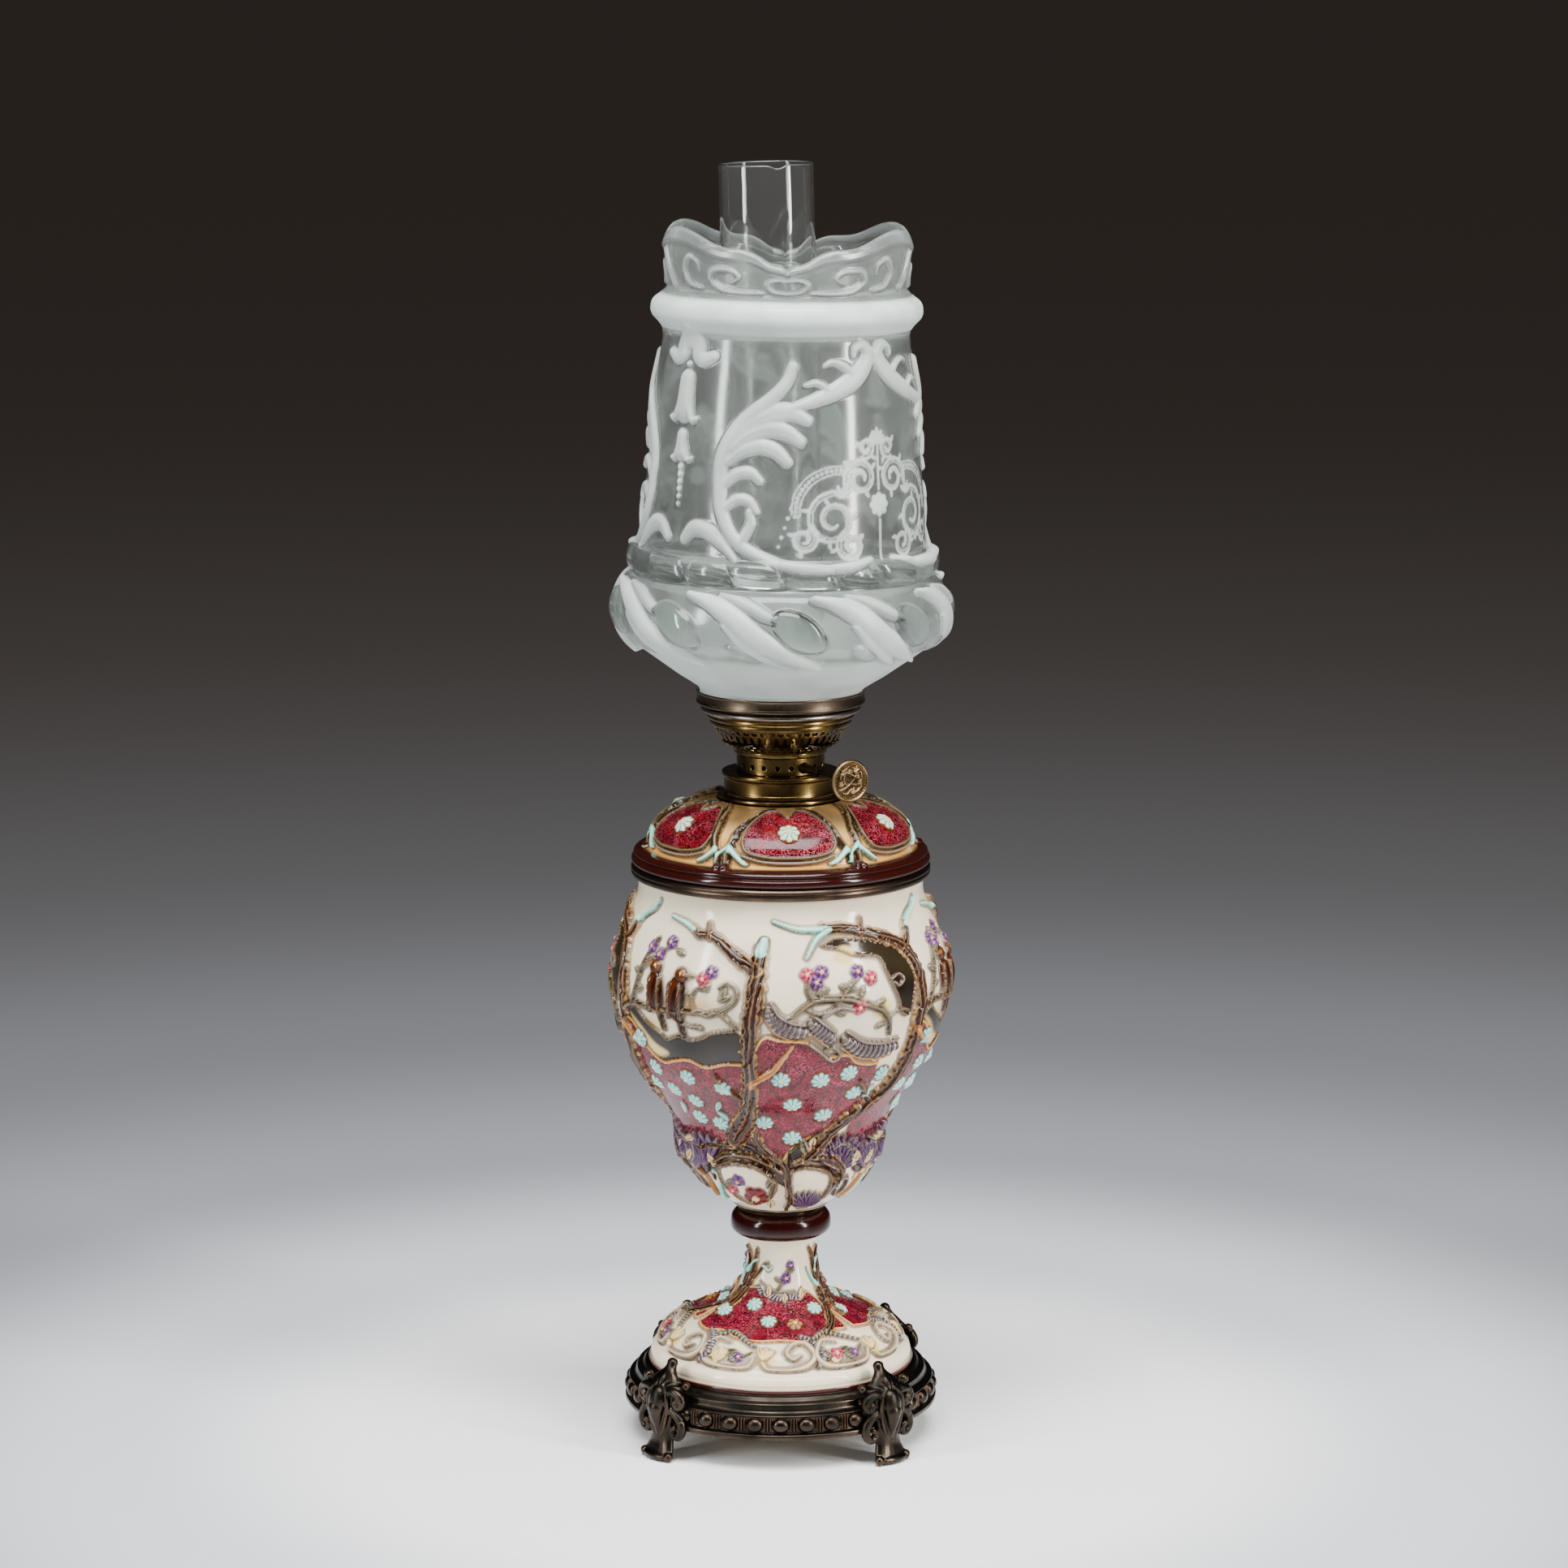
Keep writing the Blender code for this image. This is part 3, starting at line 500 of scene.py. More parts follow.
def metal_material(name, base, tarnish, roughness, spots=60.0, brushed=False, bright=None):
    """Old metal: a base tone, tarnish in cloudy patches and small pits, and bright wear where the mask is set."""
    n = Nodes(name)
    clouds = n.span(n.noise(spots, 5.0), 0.38, 0.66, 0.0, 1.0)
    colour = n.mix(clouds, srgb(base), srgb(tarnish))
    specks = n.span(n.noise(520.0, 2.0), 0.60, 0.72, 0.0, 0.6)
    colour = n.mix(specks, colour, srgb(tarnish))
    rough = n.span(clouds, 0.0, 1.0, roughness, roughness + 0.16)
    if bright:
        wear = n.attribute("mask", "Fac")
        wear = n.maths("MULTIPLY", wear, n.span(n.noise(150.0, 3.0), 0.30, 0.62, 0.25, 1.0))
        colour = n.mix(wear, colour, srgb(bright))
    n.set(Base_Color=colour, Roughness=rough)
    n.shader.inputs["Metallic"].default_value = 1.0
    grain = n.noise(900.0, 2.0, (1.0, 1.0, 6.0)) if brushed else n.noise(420.0, 3.0)
    n.bump(grain, 0.04 if brushed else 0.20, 0.0002)
    return n.material


def clear_glass_material():
    """Clear glass with a faint dusting and slow waves."""
    n = Nodes("chimney_glass")
    dust = n.span(n.noise(90.0, 4.0), 0.45, 0.75, 0.0, 0.05)
    n.set(Base_Color=(*srgb("#fbfdfc"), 1.0), Roughness=dust)
    n.shader.inputs["Transmission Weight"].default_value = 0.99
    n.shader.inputs["IOR"].default_value = 1.5
    n.bump(n.noise(22.0, 1.0), 0.08, 0.001)
    return n.material


def satin_glass_material():
    """Moulded glass: clear where the mask is 0, satin at about a quarter, and acid-frosted white at 1."""
    n = Nodes("moulded_glass")
    frost = n.attribute("mask", "Fac")
    cloud = n.span(n.noise(60.0, 3.0), 0.30, 0.66, 0.74, 1.0)
    frost = n.maths("MULTIPLY", frost, cloud)
    colour = n.mix(frost, srgb("#f3f8f4"), srgb("#dbe6df"))
    n.set(Base_Color=colour, Roughness=n.span(frost, 0.0, 0.45, 0.03, 0.42),
          Transmission_Weight=n.span(frost, 0.05, 1.0, 1.0, 0.12))
    n.shader.inputs["IOR"].default_value = 1.48
    grain = n.maths("MULTIPLY", n.noise(900.0, 2.0), frost)
    n.bump(grain, 0.10, 0.0002)
    return n.material


def cloth_material(name, light, dark, scale):
    """Woven or felted fibre."""
    n = Nodes(name)
    weave = n.span(n.noise(scale, 4.0), 0.35, 0.65, 0.0, 1.0)
    n.set(Base_Color=n.mix(weave, srgb(dark), srgb(light)), Roughness=0.95)
    n.bump(weave, 0.5, 0.0004)
    return n.material


GLAZE = glaze_material()
SATIN = satin_glass_material()
CHIMNEY_GLASS = clear_glass_material()
BRASS = metal_material("old_brass", "#8a7040", "#3c2c16", 0.19, spots=55.0, brushed=True)
BRASS_RELIEF = metal_material("embossed_brass", "#544024", "#33261a", 0.30, bright="#a68a62")
GREY_BRASS = metal_material("grey_brass", "#7d6c58", "#453a32", 0.24, spots=50.0, brushed=True)
BRONZE = metal_material("bronze_patina", "#3b332c", "#201e1a", 0.27, bright="#8e6040")
BAND = metal_material("band_bronze", "#5a4a3c", "#332822", 0.26, spots=40.0)
STEEL = metal_material("dull_steel", "#9a948a", "#5a544c", 0.26)
TIN = metal_material("tinned_sheet", "#b2b0a8", "#77736a", 0.34)
LEATHER = cloth_material("oiled_leather", "#5a3c26", "#2e1c10", 300.0)
FELT = cloth_material("grey_felt", "#6e6c66", "#45433f", 700.0)
SOOTY = metal_material("sooty_brass", "#33291a", "#1b1611", 0.55, spots=90.0)
COTTON = cloth_material("wick_cotton", "#e6dfcc", "#b8ab8c", 900.0)


# ---------------------------------------------------------------- stage, camera and lights

FLOOR_SIZE = 900
CAMERA_LENS = 111.8
CAMERA_PLACE = (0.0018, -2.61, 0.835)
CAMERA_DIP = 10.25            # how far the camera looks down, in degrees


def make_floor():
    """A pale floor with painted light: white round the lamp, its colour falling away into the dark studio all
    round as a painted pool of light, with a faint painted glow far off.
    """
    n = Nodes("studio_floor")
    place = n.add("ShaderNodeSeparateXYZ", {"Vector": n.place()})
    away = n.add("ShaderNodeVectorMath", operation="LENGTH")
    flat = n.add("ShaderNodeCombineXYZ", {"X": place.outputs["X"], "Y": place.outputs["Y"]})
    n.put(away.inputs[0], flat.outputs["Vector"])
    # The colour ramp is a painted pool of light: white near the lamp, darker with distance.
    decades = n.maths("LOGARITHM", n.maths("ADD", away.outputs["Value"], 0.1), 10.0)
    share = n.span(decades, -1.0, 1.6, 0.0, 1.0)
    ramp = n.add("ShaderNodeValToRGB", {"Fac": share})
    ramp.color_ramp.interpolation = "EASE"
    stops = [(0.00, "#ffffff"), (0.20, "#ffffff"), (0.26, "#d0d3d9"), (0.33, "#8f9196"), (0.40, "#747579"),
             (0.48, "#606062"), (0.58, "#504d4d"), (0.70, "#3c3734"), (0.85, "#26211e"), (1.00, "#161311")]
    elements = ramp.color_ramp.elements
    while len(elements) < len(stops):
        elements.new(0.5)
    for element, (position, code) in zip(elements, stops):
        element.position = position
        element.color = (*srgb(code), 1.0)
    # A painted glow on the far floor, stronger further out, standing in for the dim studio light there.
    dark = n.span(away.outputs["Value"], 0.35, 2.6, 0.0, 1.0)
    n.set(Base_Color=ramp.outputs["Color"], Roughness=0.6, Emission_Color=(*srgb("#9c8c80"), 1.0),
          Emission_Strength=n.maths("MULTIPLY", dark, 0.068))
    n.shader.inputs["Specular IOR Level"].default_value = 0.15
    bpy.ops.mesh.primitive_grid_add(x_subdivisions=8, y_subdivisions=8, size=FLOOR_SIZE)
    floor = bpy.context.object
    floor.name = "studio_floor"
    floor.data.materials.append(n.material)


def in_studio(name, data):
    obj = bpy.data.objects.new(name, data)
    bpy.context.scene.collection.objects.link(obj)
    return obj


def make_camera():
    camera = bpy.data.cameras.new("camera")
    camera.lens, camera.sensor_width, camera.clip_end = CAMERA_LENS, 36, 1000
    obj = in_studio("camera", camera)
    obj.location = CAMERA_PLACE
    obj.rotation_euler = (math.radians(90 - CAMERA_DIP), 0, 0)
    bpy.context.scene.camera = obj


def make_light(name, azimuth, distance, height, size, power, colour, aim=0.35):
    """A softbox at an azimuth from the camera's direction, growing to the right, that faces the lamp."""
    light = bpy.data.lights.new(name, "AREA")
    light.shape = "RECTANGLE"
    light.size, light.size_y = size
    light.energy, light.color = power, colour
    obj = in_studio(name, light)
    turn = math.radians(azimuth)
    obj.location = (distance * math.sin(turn), -distance * math.cos(turn), height)
    toward = Vector((0, 0, aim)) - obj.location
    obj.rotation_euler = toward.to_track_quat("-Z", "Y").to_euler()


def make_studio():
    make_floor()
    make_camera()
    make_light("key_strip", 58, 2.0, 1.0, (0.20, 1.6), 64, (1.0, 0.985, 0.96))
    make_light("fill_strip", -57, 2.0, 0.95, (0.20, 1.6), 38, (0.97, 0.985, 1.0))
    make_light("overhead", 0, 0.85, 2.3, (1.8, 1.2), 122, (0.97, 0.98, 1.0), 0.0)
    world = bpy.data.worlds.new("studio")
    world.use_nodes = True
    world.node_tree.nodes["Background"].inputs["Color"].default_value = (0.022, 0.021, 0.020, 1.0)
    bpy.context.scene.world = world


# ---------------------------------------------------------------- glazes and their palette

CREAM, WARM = tones("#f2e3c6", "#dcb377")
BARK = tones("#5e260a", "#260b03", "#d09a54")
DARK_BARK = tones("#6e4424", "#2a160c", "#b98d58")
GOLD_BARK = tones("#f0cb80", "#a8682a", "#6b3c14")
GOLD_LINE = tones("#e6b866", "#b87c38", "#6b3c14")
TWIG = tones("#665236", "#2a1c10", "#100603")
AQUA = tones("#d2f8ee", "#86dccb", "#3a6a5e")
GREY_SCROLL = tones("#9c8c84", "#43363a", "#1a1014")
CREAM_SCROLL = tones("#efe2ca", "#a08a6c", "#1e0e06")
COMB = tones("#100616", "#b09eac", "#c4b2ac")
BURGUNDY, CRIMSON = tones("#70001f", "#66030d")
OLIVE, VIOLET_GREY, NIGHT = tones("#30291a", "#352f30", "#181412")
YELLOW, PURPLE = tones("#edd08a", "#34183e")
UMBER = srgb("#3a1c0c")
AQUA_FLOWER = tones("#e2e8b0", "#a2ecea", "#4a7a74")
PURPLE_FLOWER = tones("#e0a860", "#5e3074", "#1a0a20")
PINK_FLOWER = tones("#f0c070", "#b8305a", "#440a18")
LEAF_TONES = tones("#7c765a", "#1a140a")
AQUA_LEAF = tones("#c8f4e8", "#4fae9e")
GOLD_LEAF = tones("#f0dca4", "#a8742e")
PURPLE_LEAF = tones("#5c3468", "#1c0a22")


def leaves(v, rows, length, width, height, colours):
    """Leaves of one kind. A row is a leaf's place and turn."""
    for place, turn in rows:
        v.leaf(place, length, width, turn, height, colours)


def blossom(v, place, radius, colours, leaf_turn=None):
    """A five-petalled blossom of round lobes, with a small leaf or two."""
    if leaf_turn is not None:
        v.leaf(place, radius * 2.3, radius * 1.1, leaf_turn, 1.1, LEAF_TONES)
    v.flower(place, radius, 5, 1.9, colours, turn=0.6)


def bars(v, rows):
    """Bars in order. A row is (points, widths, height, colours), with its ridges and roughness if it has them."""
    for points, widths, height, colours, *rough in rows:
        v.stroke(points, widths, height, colours, **dict(zip(("ridges", "roughen"), rough)))


def spotted_flowers(v, places, radius=5.0):
    """Aqua daisies with a brown outline and a gold heart."""
    for i, place in enumerate(places):
        v.oval(place, radius * 2.25, radius * 2.25, 0, 0.7, GOLD_LINE[2])
        v.flower(place, radius, 8, 2.0, AQUA_FLOWER, turn=0.39 * i)


def edged_region(v, corners, colour, height, line, width, rise=None, **settings):
    """A raised ground with a bar round its edge."""
    v.region(corners, colour, height=height, **settings)
    v.stroke([*corners, corners[0]], width, rise or height + 0.5, line)


VASE_LIMIT = 96.45            # how far out the vase's relief may stand
DOME_LIMIT = 356.7            # how high the dome's relief may stand
CROWN_LIMIT = 96              # how far out the shade's crown may curl
VASE_WALL = [
    (26.6, 130.2), (33.6, 135.3), (40.4, 140.6), (46, 148), (51, 157), (53.2, 165), (54.2, 172), (57.0, 179),
    (61.5, 187), (66.6, 195), (72.4, 203), (78, 211), (82.6, 220), (86.2, 229), (89, 238), (91, 247), (92, 256),
    (91.8, 264), (90.3, 273), (87.5, 281), (83.8, 290), (80.2, 298), (78.2, 304), (77.7, 309), (77.8, 313.6),
]
VASE_FIELD = [
    (-66, 244), (-60, 240), (-55, 228), (-48, 222), (-42, 224), (-35, 226), (-28, 223), (-20, 226), (-12, 228),
    (-6, 242), (0, 241), (8, 240), (12, 237), (16, 231), (24, 231), (28, 226), (35, 224), (45, 226), (51, 226),
    (49, 212), (46, 203), (38, 195), (30, 188), (22, 183), (15, 180), (10, 176), (5, 172), (0, 165), (-8, 168),
    (-15, 173), (-22, 175), (-28, 172), (-40, 174), (-50, 171), (-62, 170), (-80, 169),
    (-95, 176), (-91, 187), (-83, 196), (-75, 206), (-70, 216), (-69, 232),
]
ROCK_BAND = [
    (-66, 258), (-63, 255), (-58, 250), (-52, 243), (-46, 239), (-43, 236), (-38, 239), (-33, 238), (-29, 239),
    (-24, 243), (-18, 245), (-12, 245), (-12, 228), (-20, 226), (-28, 223), (-35, 226), (-42, 225), (-48, 223),
    (-55, 228), (-60, 240), (-65, 246),
]
CLOUD = [
    (15, 290), (20, 293), (30, 292), (40, 289), (47, 282), (51, 270), (50, 258), (48, 249), (44, 252), (43, 258),
    (41, 265), (38, 275), (36, 282), (28, 284), (22, 288), (18, 289),
]


def paint_vase_panels(v):
    """The flat and low grounds: misted cream, rocks, the spotted field and the dark cloud."""
    v.region([(-66, 222), (-58, 238), (-50, 246), (-44, 238), (-46, 226), (-56, 214)], YELLOW, soft=9)
    v.region([(-20, 206), (-18, 222), (0, 236), (8, 244), (12, 236), (0, 220)], WARM, soft=8)
    v.region([(-48, 253), (-36, 250), (-24, 258), (-34, 262)], WARM * 0.9 + CREAM * 0.1, soft=10)
    edged_region(v, ROCK_BAND, OLIVE, 1.0, DARK_BARK, 1.2, shade=NIGHT)
    v.region([(-24, 235), (-18, 238), (-12, 240), (-12, 229), (-20, 227), (-26, 226)], VIOLET_GREY, soft=9)
    v.region([(-62, 246), (-56, 240), (-50, 232), (-44, 228), (-50, 225), (-57, 231)], YELLOW, soft=3.5,
             shade=srgb("#b98f4a"))
    edged_region(v, VASE_FIELD, BURGUNDY, 0.9, GOLD_LINE, 1.8, 1.9, mask=1.0, shade=srgb("#5c0318"))
    edged_region(v, CLOUD, OLIVE * 0.8, 1.3, DARK_BARK, 1.2, 2.0, shade=NIGHT)
    v.region([(18, 283), (22, 289), (27, 287), (24, 280)], YELLOW, soft=3)
    v.region([(32, 252), (36, 261), (40, 256), (37, 248)], YELLOW, soft=4)
    v.stroke([(40, 270), (43, 272), (45, 269), (43, 266), (41, 268)], 1.0, 1.9, GREY_SCROLL)


def paint_vase_foot(v):
    """The band of roots, rocks, shells and cartouches round the bottom of the vase."""
    v.region([(-70, 178), (-52, 178), (-46, 170), (-46, 158), (-58, 152), (-72, 158)], PURPLE, height=1.6,
             shade=NIGHT, soft=1)
    v.region([(-50, 174), (-38, 172), (-22, 174), (-8, 170), (2, 166), (4, 150), (-2, 152), (-20, 164),
              (-36, 164), (-46, 152), (-50, 150)], UMBER, height=1.2, shade=NIGHT)
    v.region([(4, 172), (14, 176), (28, 172), (40, 160), (38, 152), (26, 162), (12, 164), (5, 158)], UMBER,
             height=1.2, shade=OLIVE)
    v.region([(-34, 176), (-20, 178), (-8, 172), (-14, 168), (-26, 170)], VIOLET_GREY, soft=4)
    v.region([(4, 172), (12, 178), (22, 184), (26, 176), (20, 166), (8, 163)], NIGHT, height=1.2, shade=OLIVE)
    v.region([(26, 174), (34, 178), (44, 172), (50, 164), (42, 157), (30, 160)], PURPLE, height=1.5, shade=NIGHT)
    for foot, fan in (((-58, 156), range(52, 150, 13)), ((33, 160), range(10, 150, 14)),
                      ((-47, 160), range(60, 125, 16))):
        leaves(v, [(foot, turn) for turn in fan], 21, 6.4, 3.0, PURPLE_LEAF)
    for points in ([(-66, 176), (-60, 173), (-56, 167), (-59, 161), (-64, 163), (-62, 168)],
                   [(30, 172), (36, 175), (42, 170), (39, 163), (33, 164), (35, 168)]):
        v.stroke(points, (2.2, 3.4, 2.4, 1.4), 3.2, GREY_SCROLL, ridges=1)
    leaves(v, [((-66, 160), 40), ((-52, 176), 200), ((44, 160), 70), ((-40, 158), 110)], 10, 4.4, 2.6, GOLD_LEAF)
    for turn, tone in ((60, GOLD_LEAF), (85, GOLD_LEAF), (110, LEAF_TONES), (35, PURPLE_LEAF)):
        v.leaf((16, 167), 15, 6, turn, 2.8, tone)
    cartouche = [(-40, 160), (-30, 163), (-18, 163), (-8, 160), (-4, 153), (-7, 144), (-18, 139), (-30, 141),
                 (-40, 150)]
    v.region(cartouche, CREAM, height=1.6)
    v.stroke([*cartouche, cartouche[0]], (2.6, 3.6, 2.6), 3.0, DARK_BARK, ridges=1, roughen=0.3)
    other = [(6, 160), (14, 162), (30, 158), (34, 148), (28, 139), (14, 136), (6, 144), (6, 160)]
    v.region(other[:-1], CREAM, height=1.4)
    v.stroke(other, (2.6, 3.4, 2.6), 2.8, DARK_BARK, ridges=1, roughen=0.3)
    v.stroke([(-40, 163), (-30, 168), (-18, 168), (-8, 165), (0, 160)], (3, 5, 3), 3.4, BARK, ridges=2,
             roughen=0.3)
    v.stroke([(8, 165), (18, 168), (30, 165), (38, 157), (40, 148)], (3, 5, 3), 3.4, BARK, ridges=2, roughen=0.3)
    v.flower((-17, 144), 7.5, 5, 2.6, (YELLOW, CRIMSON, srgb("#5a1422")), turn=0.3)
    blossom(v, (-27, 153), 4.0, PURPLE_FLOWER, 200)
    blossom(v, (-33, 147), 3.2, PINK_FLOWER, 160)
    v.leaf((-9, 150), 9, 4, 60, 1.8, LEAF_TONES)
    leaves(v, [((18, 138), turn) for turn in range(35, 150, 16)], 13, 4.2, 2.4, PURPLE_LEAF)
    v.stroke([(34, 141), (40, 150), (48, 151), (50, 144), (44, 141), (42, 145)], (3.4, 2.8, 1.6), 2.2,
             GREY_SCROLL)
    v.stroke([(-52, 138), (-46, 146), (-42, 152), (-44, 157)], (3.4, 2.4, 1.6), 2.2, AQUA)
    v.stroke([(-60, 158), (-56, 150), (-58, 142), (-64, 138)], (3.6, 3.0, 2.4), 2.4, GOLD_BARK, ridges=2)
    leaves(v, [((-10, 134), 80), ((25, 132), 80), ((-62, 148), 80)], 10, 4, 1.5, GOLD_LEAF)


def paint_vase_trees(v):
    """The two trees that divide each repeat, and their branches."""
    bars(v, [
        ([(-17, 188), (-21, 180), (-29, 174), (-40, 173), (-50, 170), (-60, 172)], (5.5, 4.5, 3.5, 2.5), 2.8,
         BARK, 3, 0.35),
        ([(-16, 188), (-12, 177), (-6, 169), (2, 163), (5, 152), (7, 140), (5, 134)], (6, 5, 4.4, 3.4, 2.6), 3.0,
         BARK, 3, 0.35),
        ([(-24, 180), (-17, 190), (-14, 200), (-12, 210), (-11, 222), (-11, 236), (-10, 250), (-8.5, 265),
          (-8, 280), (-7, 288)], (13.5, 12, 9.6, 8.8, 9, 9.8, 10.2, 9.6, 8.4), 4.0, BARK, 3, 0.28),
        ([(-7, 287), (-6, 293)], (6.5, 4.5), 3.4, AQUA),
        ([(-9, 278), (-14, 283), (-20, 289), (-26, 294), (-31, 294), (-35, 297)], (7.6, 6.4, 5.2, 3.6), 3.6, BARK,
         2, 0.3),
        ([(-27, 293), (-28, 300)], (3.6, 3.0), 3.4, BARK),
        ([(-34, 296), (-39, 299), (-47, 301.5)], (3.4, 2.8, 1.2), 2.4, AQUA),
        ([(-11, 216), (-4, 222), (0, 229), (4, 238)], (5.4, 4.2, 3.2, 1.6), 3.2, GOLD_BARK, 2, 0.3),
        ([(-16, 206), (-22, 212), (-25, 219)], (4.4, 3.0, 1.6), 3.0, BARK, 2, 0.3),
        ([(15, 168), (20, 174), (25, 180), (33, 190), (40, 197), (47, 206), (50, 215), (52, 226), (53, 238),
          (54, 250), (54.5, 262), (53, 274), (49, 284), (43, 290), (36, 293), (30, 296), (24, 298), (16, 298.5)],
         (7, 8.8, 9.4, 9, 8.4, 8.2, 7.8, 7, 5.4), 3.8, BARK, 3, 0.28),
        ([(17, 298), (8, 298.5), (3, 300), (-3, 303)], (4, 3.2, 1.4), 2.4, AQUA),
        ([(18, 297.5), (13, 293), (9, 284)], (3.6, 2.8, 1.6), 3.0, AQUA),
        ([(31, 295), (32, 302)], (3.8, 3.0), 3.4, BARK),
        ([(49, 282), (52, 289), (54, 296)], (6.0, 5.0, 3.8), 3.6, BARK, 2, 0.3),
        ([(54, 295), (57, 299), (62, 303), (65, 308)], (3.8, 3.2, 1.6), 2.6, AQUA),
        ([(53, 240), (59, 233), (64, 229)], (5, 3.6, 2), 3.2, GOLD_BARK, 2, 0.3),
        ([(44, 201), (37, 206), (32, 214)], (4.4, 3, 1.6), 3.0, BARK, 2, 0.3),
    ])


def paint_vase_combs(v):
    """The ribbed clouds along the top of the spotted field."""
    for points in ([(-4, 257), (-1, 250), (4, 246), (9, 245)], [(10, 250), (14, 245), (18, 240)],
                   [(22, 240), (28, 234), (33, 232), (38, 231), (44, 232)]):
        v.stroke(points, (5.4, 9.6, 9.2, 5), 3.6, COMB, ribs=len(points) * 2 + 1)
        v.stroke([(a + 0.8, z + 4.4) for a, z in points], (1.2, 2.4, 2.2, 1.0), 2.6, GREY_SCROLL)
        v.stroke([(a - 0.8, z - 4.6) for a, z in points], (0.8, 1.3, 1.3, 0.8), 1.8, GOLD_LINE)
    v.stroke([(10, 239), (14, 234), (18, 229), (21, 232), (18, 236), (15, 234)], (2.6, 2.2, 1.2), 2.6,
             GREY_SCROLL)


def paint_vase_birds(v):
    """The left panel: two birds on a branch with blossom."""
    bars(v, [
        ([(-66, 246), (-62, 250), (-58, 252), (-50, 252), (-40, 253), (-30, 254), (-25, 253), (-21, 255),
          (-17, 250), (-14, 246), (-11, 244)], (2.6, 3.4, 3.6, 3.2, 2.6, 2.0), 2.8, TWIG, 1, 0.3),
        ([(-30, 254), (-31, 260), (-30, 265), (-27, 268), (-25, 266)], (1.8, 1.4, 1.0), 2.2, TWIG),
        ([(-21, 255), (-17, 259), (-15, 263), (-15, 268), (-18, 271), (-21, 268)], (1.8, 1.6, 1.1), 2.2, TWIG),
        ([(-60, 252), (-57, 262), (-55, 272), (-53, 280), (-50, 289)], (2.4, 2.0, 1.6, 1.2), 2.4, TWIG, 0, 0.3),
        ([(-55, 272), (-50, 278), (-44, 285)], (1.4, 1.1), 2.0, TWIG),
        ([(-40, 253), (-37, 248), (-31, 245)], (2.0, 1.2), 2.2, TWIG),
        ([(-27, 268), (-25, 272)], 1.2, 2.0, TWIG),
    ])
    leaves(v, [((-55, 268), 150), ((-53, 277), 20), ((-40, 285), 340), ((-30, 262), 160), ((-20, 262), 70),
               ((-31, 246), 350), ((-47, 253), 80), ((-28, 266), 30), ((-17, 264), 200), ((-57, 259), 30)],
           7.0, 3.2, 1.9, LEAF_TONES)
    for place, colours in (((-24, 276), PURPLE_FLOWER), ((-52, 284), PURPLE_FLOWER), ((-43, 288), PURPLE_FLOWER),
                           ((-27, 272), PINK_FLOWER), ((-47, 281), PURPLE_FLOWER)):
        blossom(v, place, 4.0, colours)
    wing, breast, beak = srgb("#2a0e05"), srgb("#4c200c"), srgb("#8a5424")
    for body, head, tail, lean in (((-46.6, 262), (-47.4, 274.6), (-43.6, 242.5), 97),
                                   ((-37.4, 261), (-35.6, 272.8), (-35.4, 240.5), 82)):
        v.stroke([body, ((body[0] + tail[0]) / 2, (body[1] + tail[1]) / 2), tail], (6.0, 5.2, 4.6), 2.2,
                 (breast, wing, NIGHT), ridges=2)
        v.oval(body, 25, 12.6, lean, 3.0, breast, wing)
        v.oval((body[0] + 1.4, body[1] - 1), 20, 6.4, lean - 5, 3.6, wing, NIGHT)
        for k in range(10):
            row, rank = divmod(k, 2)
            v.leaf((body[0] - 2.2 + 4.2 * rank, body[1] + 8 - 3.8 * row), 5.6, 2.8, 262 + 10 * rank, 3.5,
                   (breast, NIGHT))
        v.oval(head, 9.0, 8.6, 0, 3.2, breast, wing)
        v.oval((head[0] + 0.7, head[1] + 0.9), 1.6, 1.6, 0, 3.4, YELLOW, NIGHT)
    v.stroke([(-34.0, 273.2), (-30.4, 273.0)], (2.6, 0.8), 3.0, (wing, beak, wing))
    v.stroke([(-49.0, 275.4), (-52.2, 275.6)], (2.6, 0.8), 3.0, (wing, beak, wing))


def paint_vase_spray(v):
    """The right panel: a spray of blossom."""
    bars(v, [
        ([(4, 254), (10, 261), (16, 262.5), (23, 262), (30, 258), (36, 254), (39, 248), (40, 240)],
         (2.0, 3.2, 3.6, 3.2, 2.2), 2.8, TWIG, 1, 0.3),
        ([(11, 262), (9, 268), (10, 274)], (2, 1.4), 2.3, TWIG),
        ([(20, 262), (23, 268), (27, 273)], (2, 1.4), 2.3, TWIG),
        ([(8, 258), (13, 255), (19, 259), (17, 263)], (1.6, 1.2), 2.0, TWIG),
        ([(39, 249), (44, 253), (47, 252)], (1.6, 1.0), 2.0, TWIG),
        ([(14, 254), (20, 258), (25, 256)], (2.6, 1.6), 2.2, GREY_SCROLL),
    ])
    leaves(v, [((22, 270), 330), ((18, 257), 330), ((12, 266), 20), ((27, 262), 60), ((33, 257), 20),
               ((4, 254), 200), ((38, 247), 200), ((24, 266), 150), ((14, 262), 100)], 7.5, 3.2, 1.9, LEAF_TONES)
    for place, colours in (((9, 276), PINK_FLOWER), ((14, 277), PURPLE_FLOWER), ((27, 276), PURPLE_FLOWER),
                           ((32, 272), PINK_FLOWER), ((27, 257), PINK_FLOWER), ((12, 272), PURPLE_FLOWER)):
        blossom(v, place, 4.2, colours)


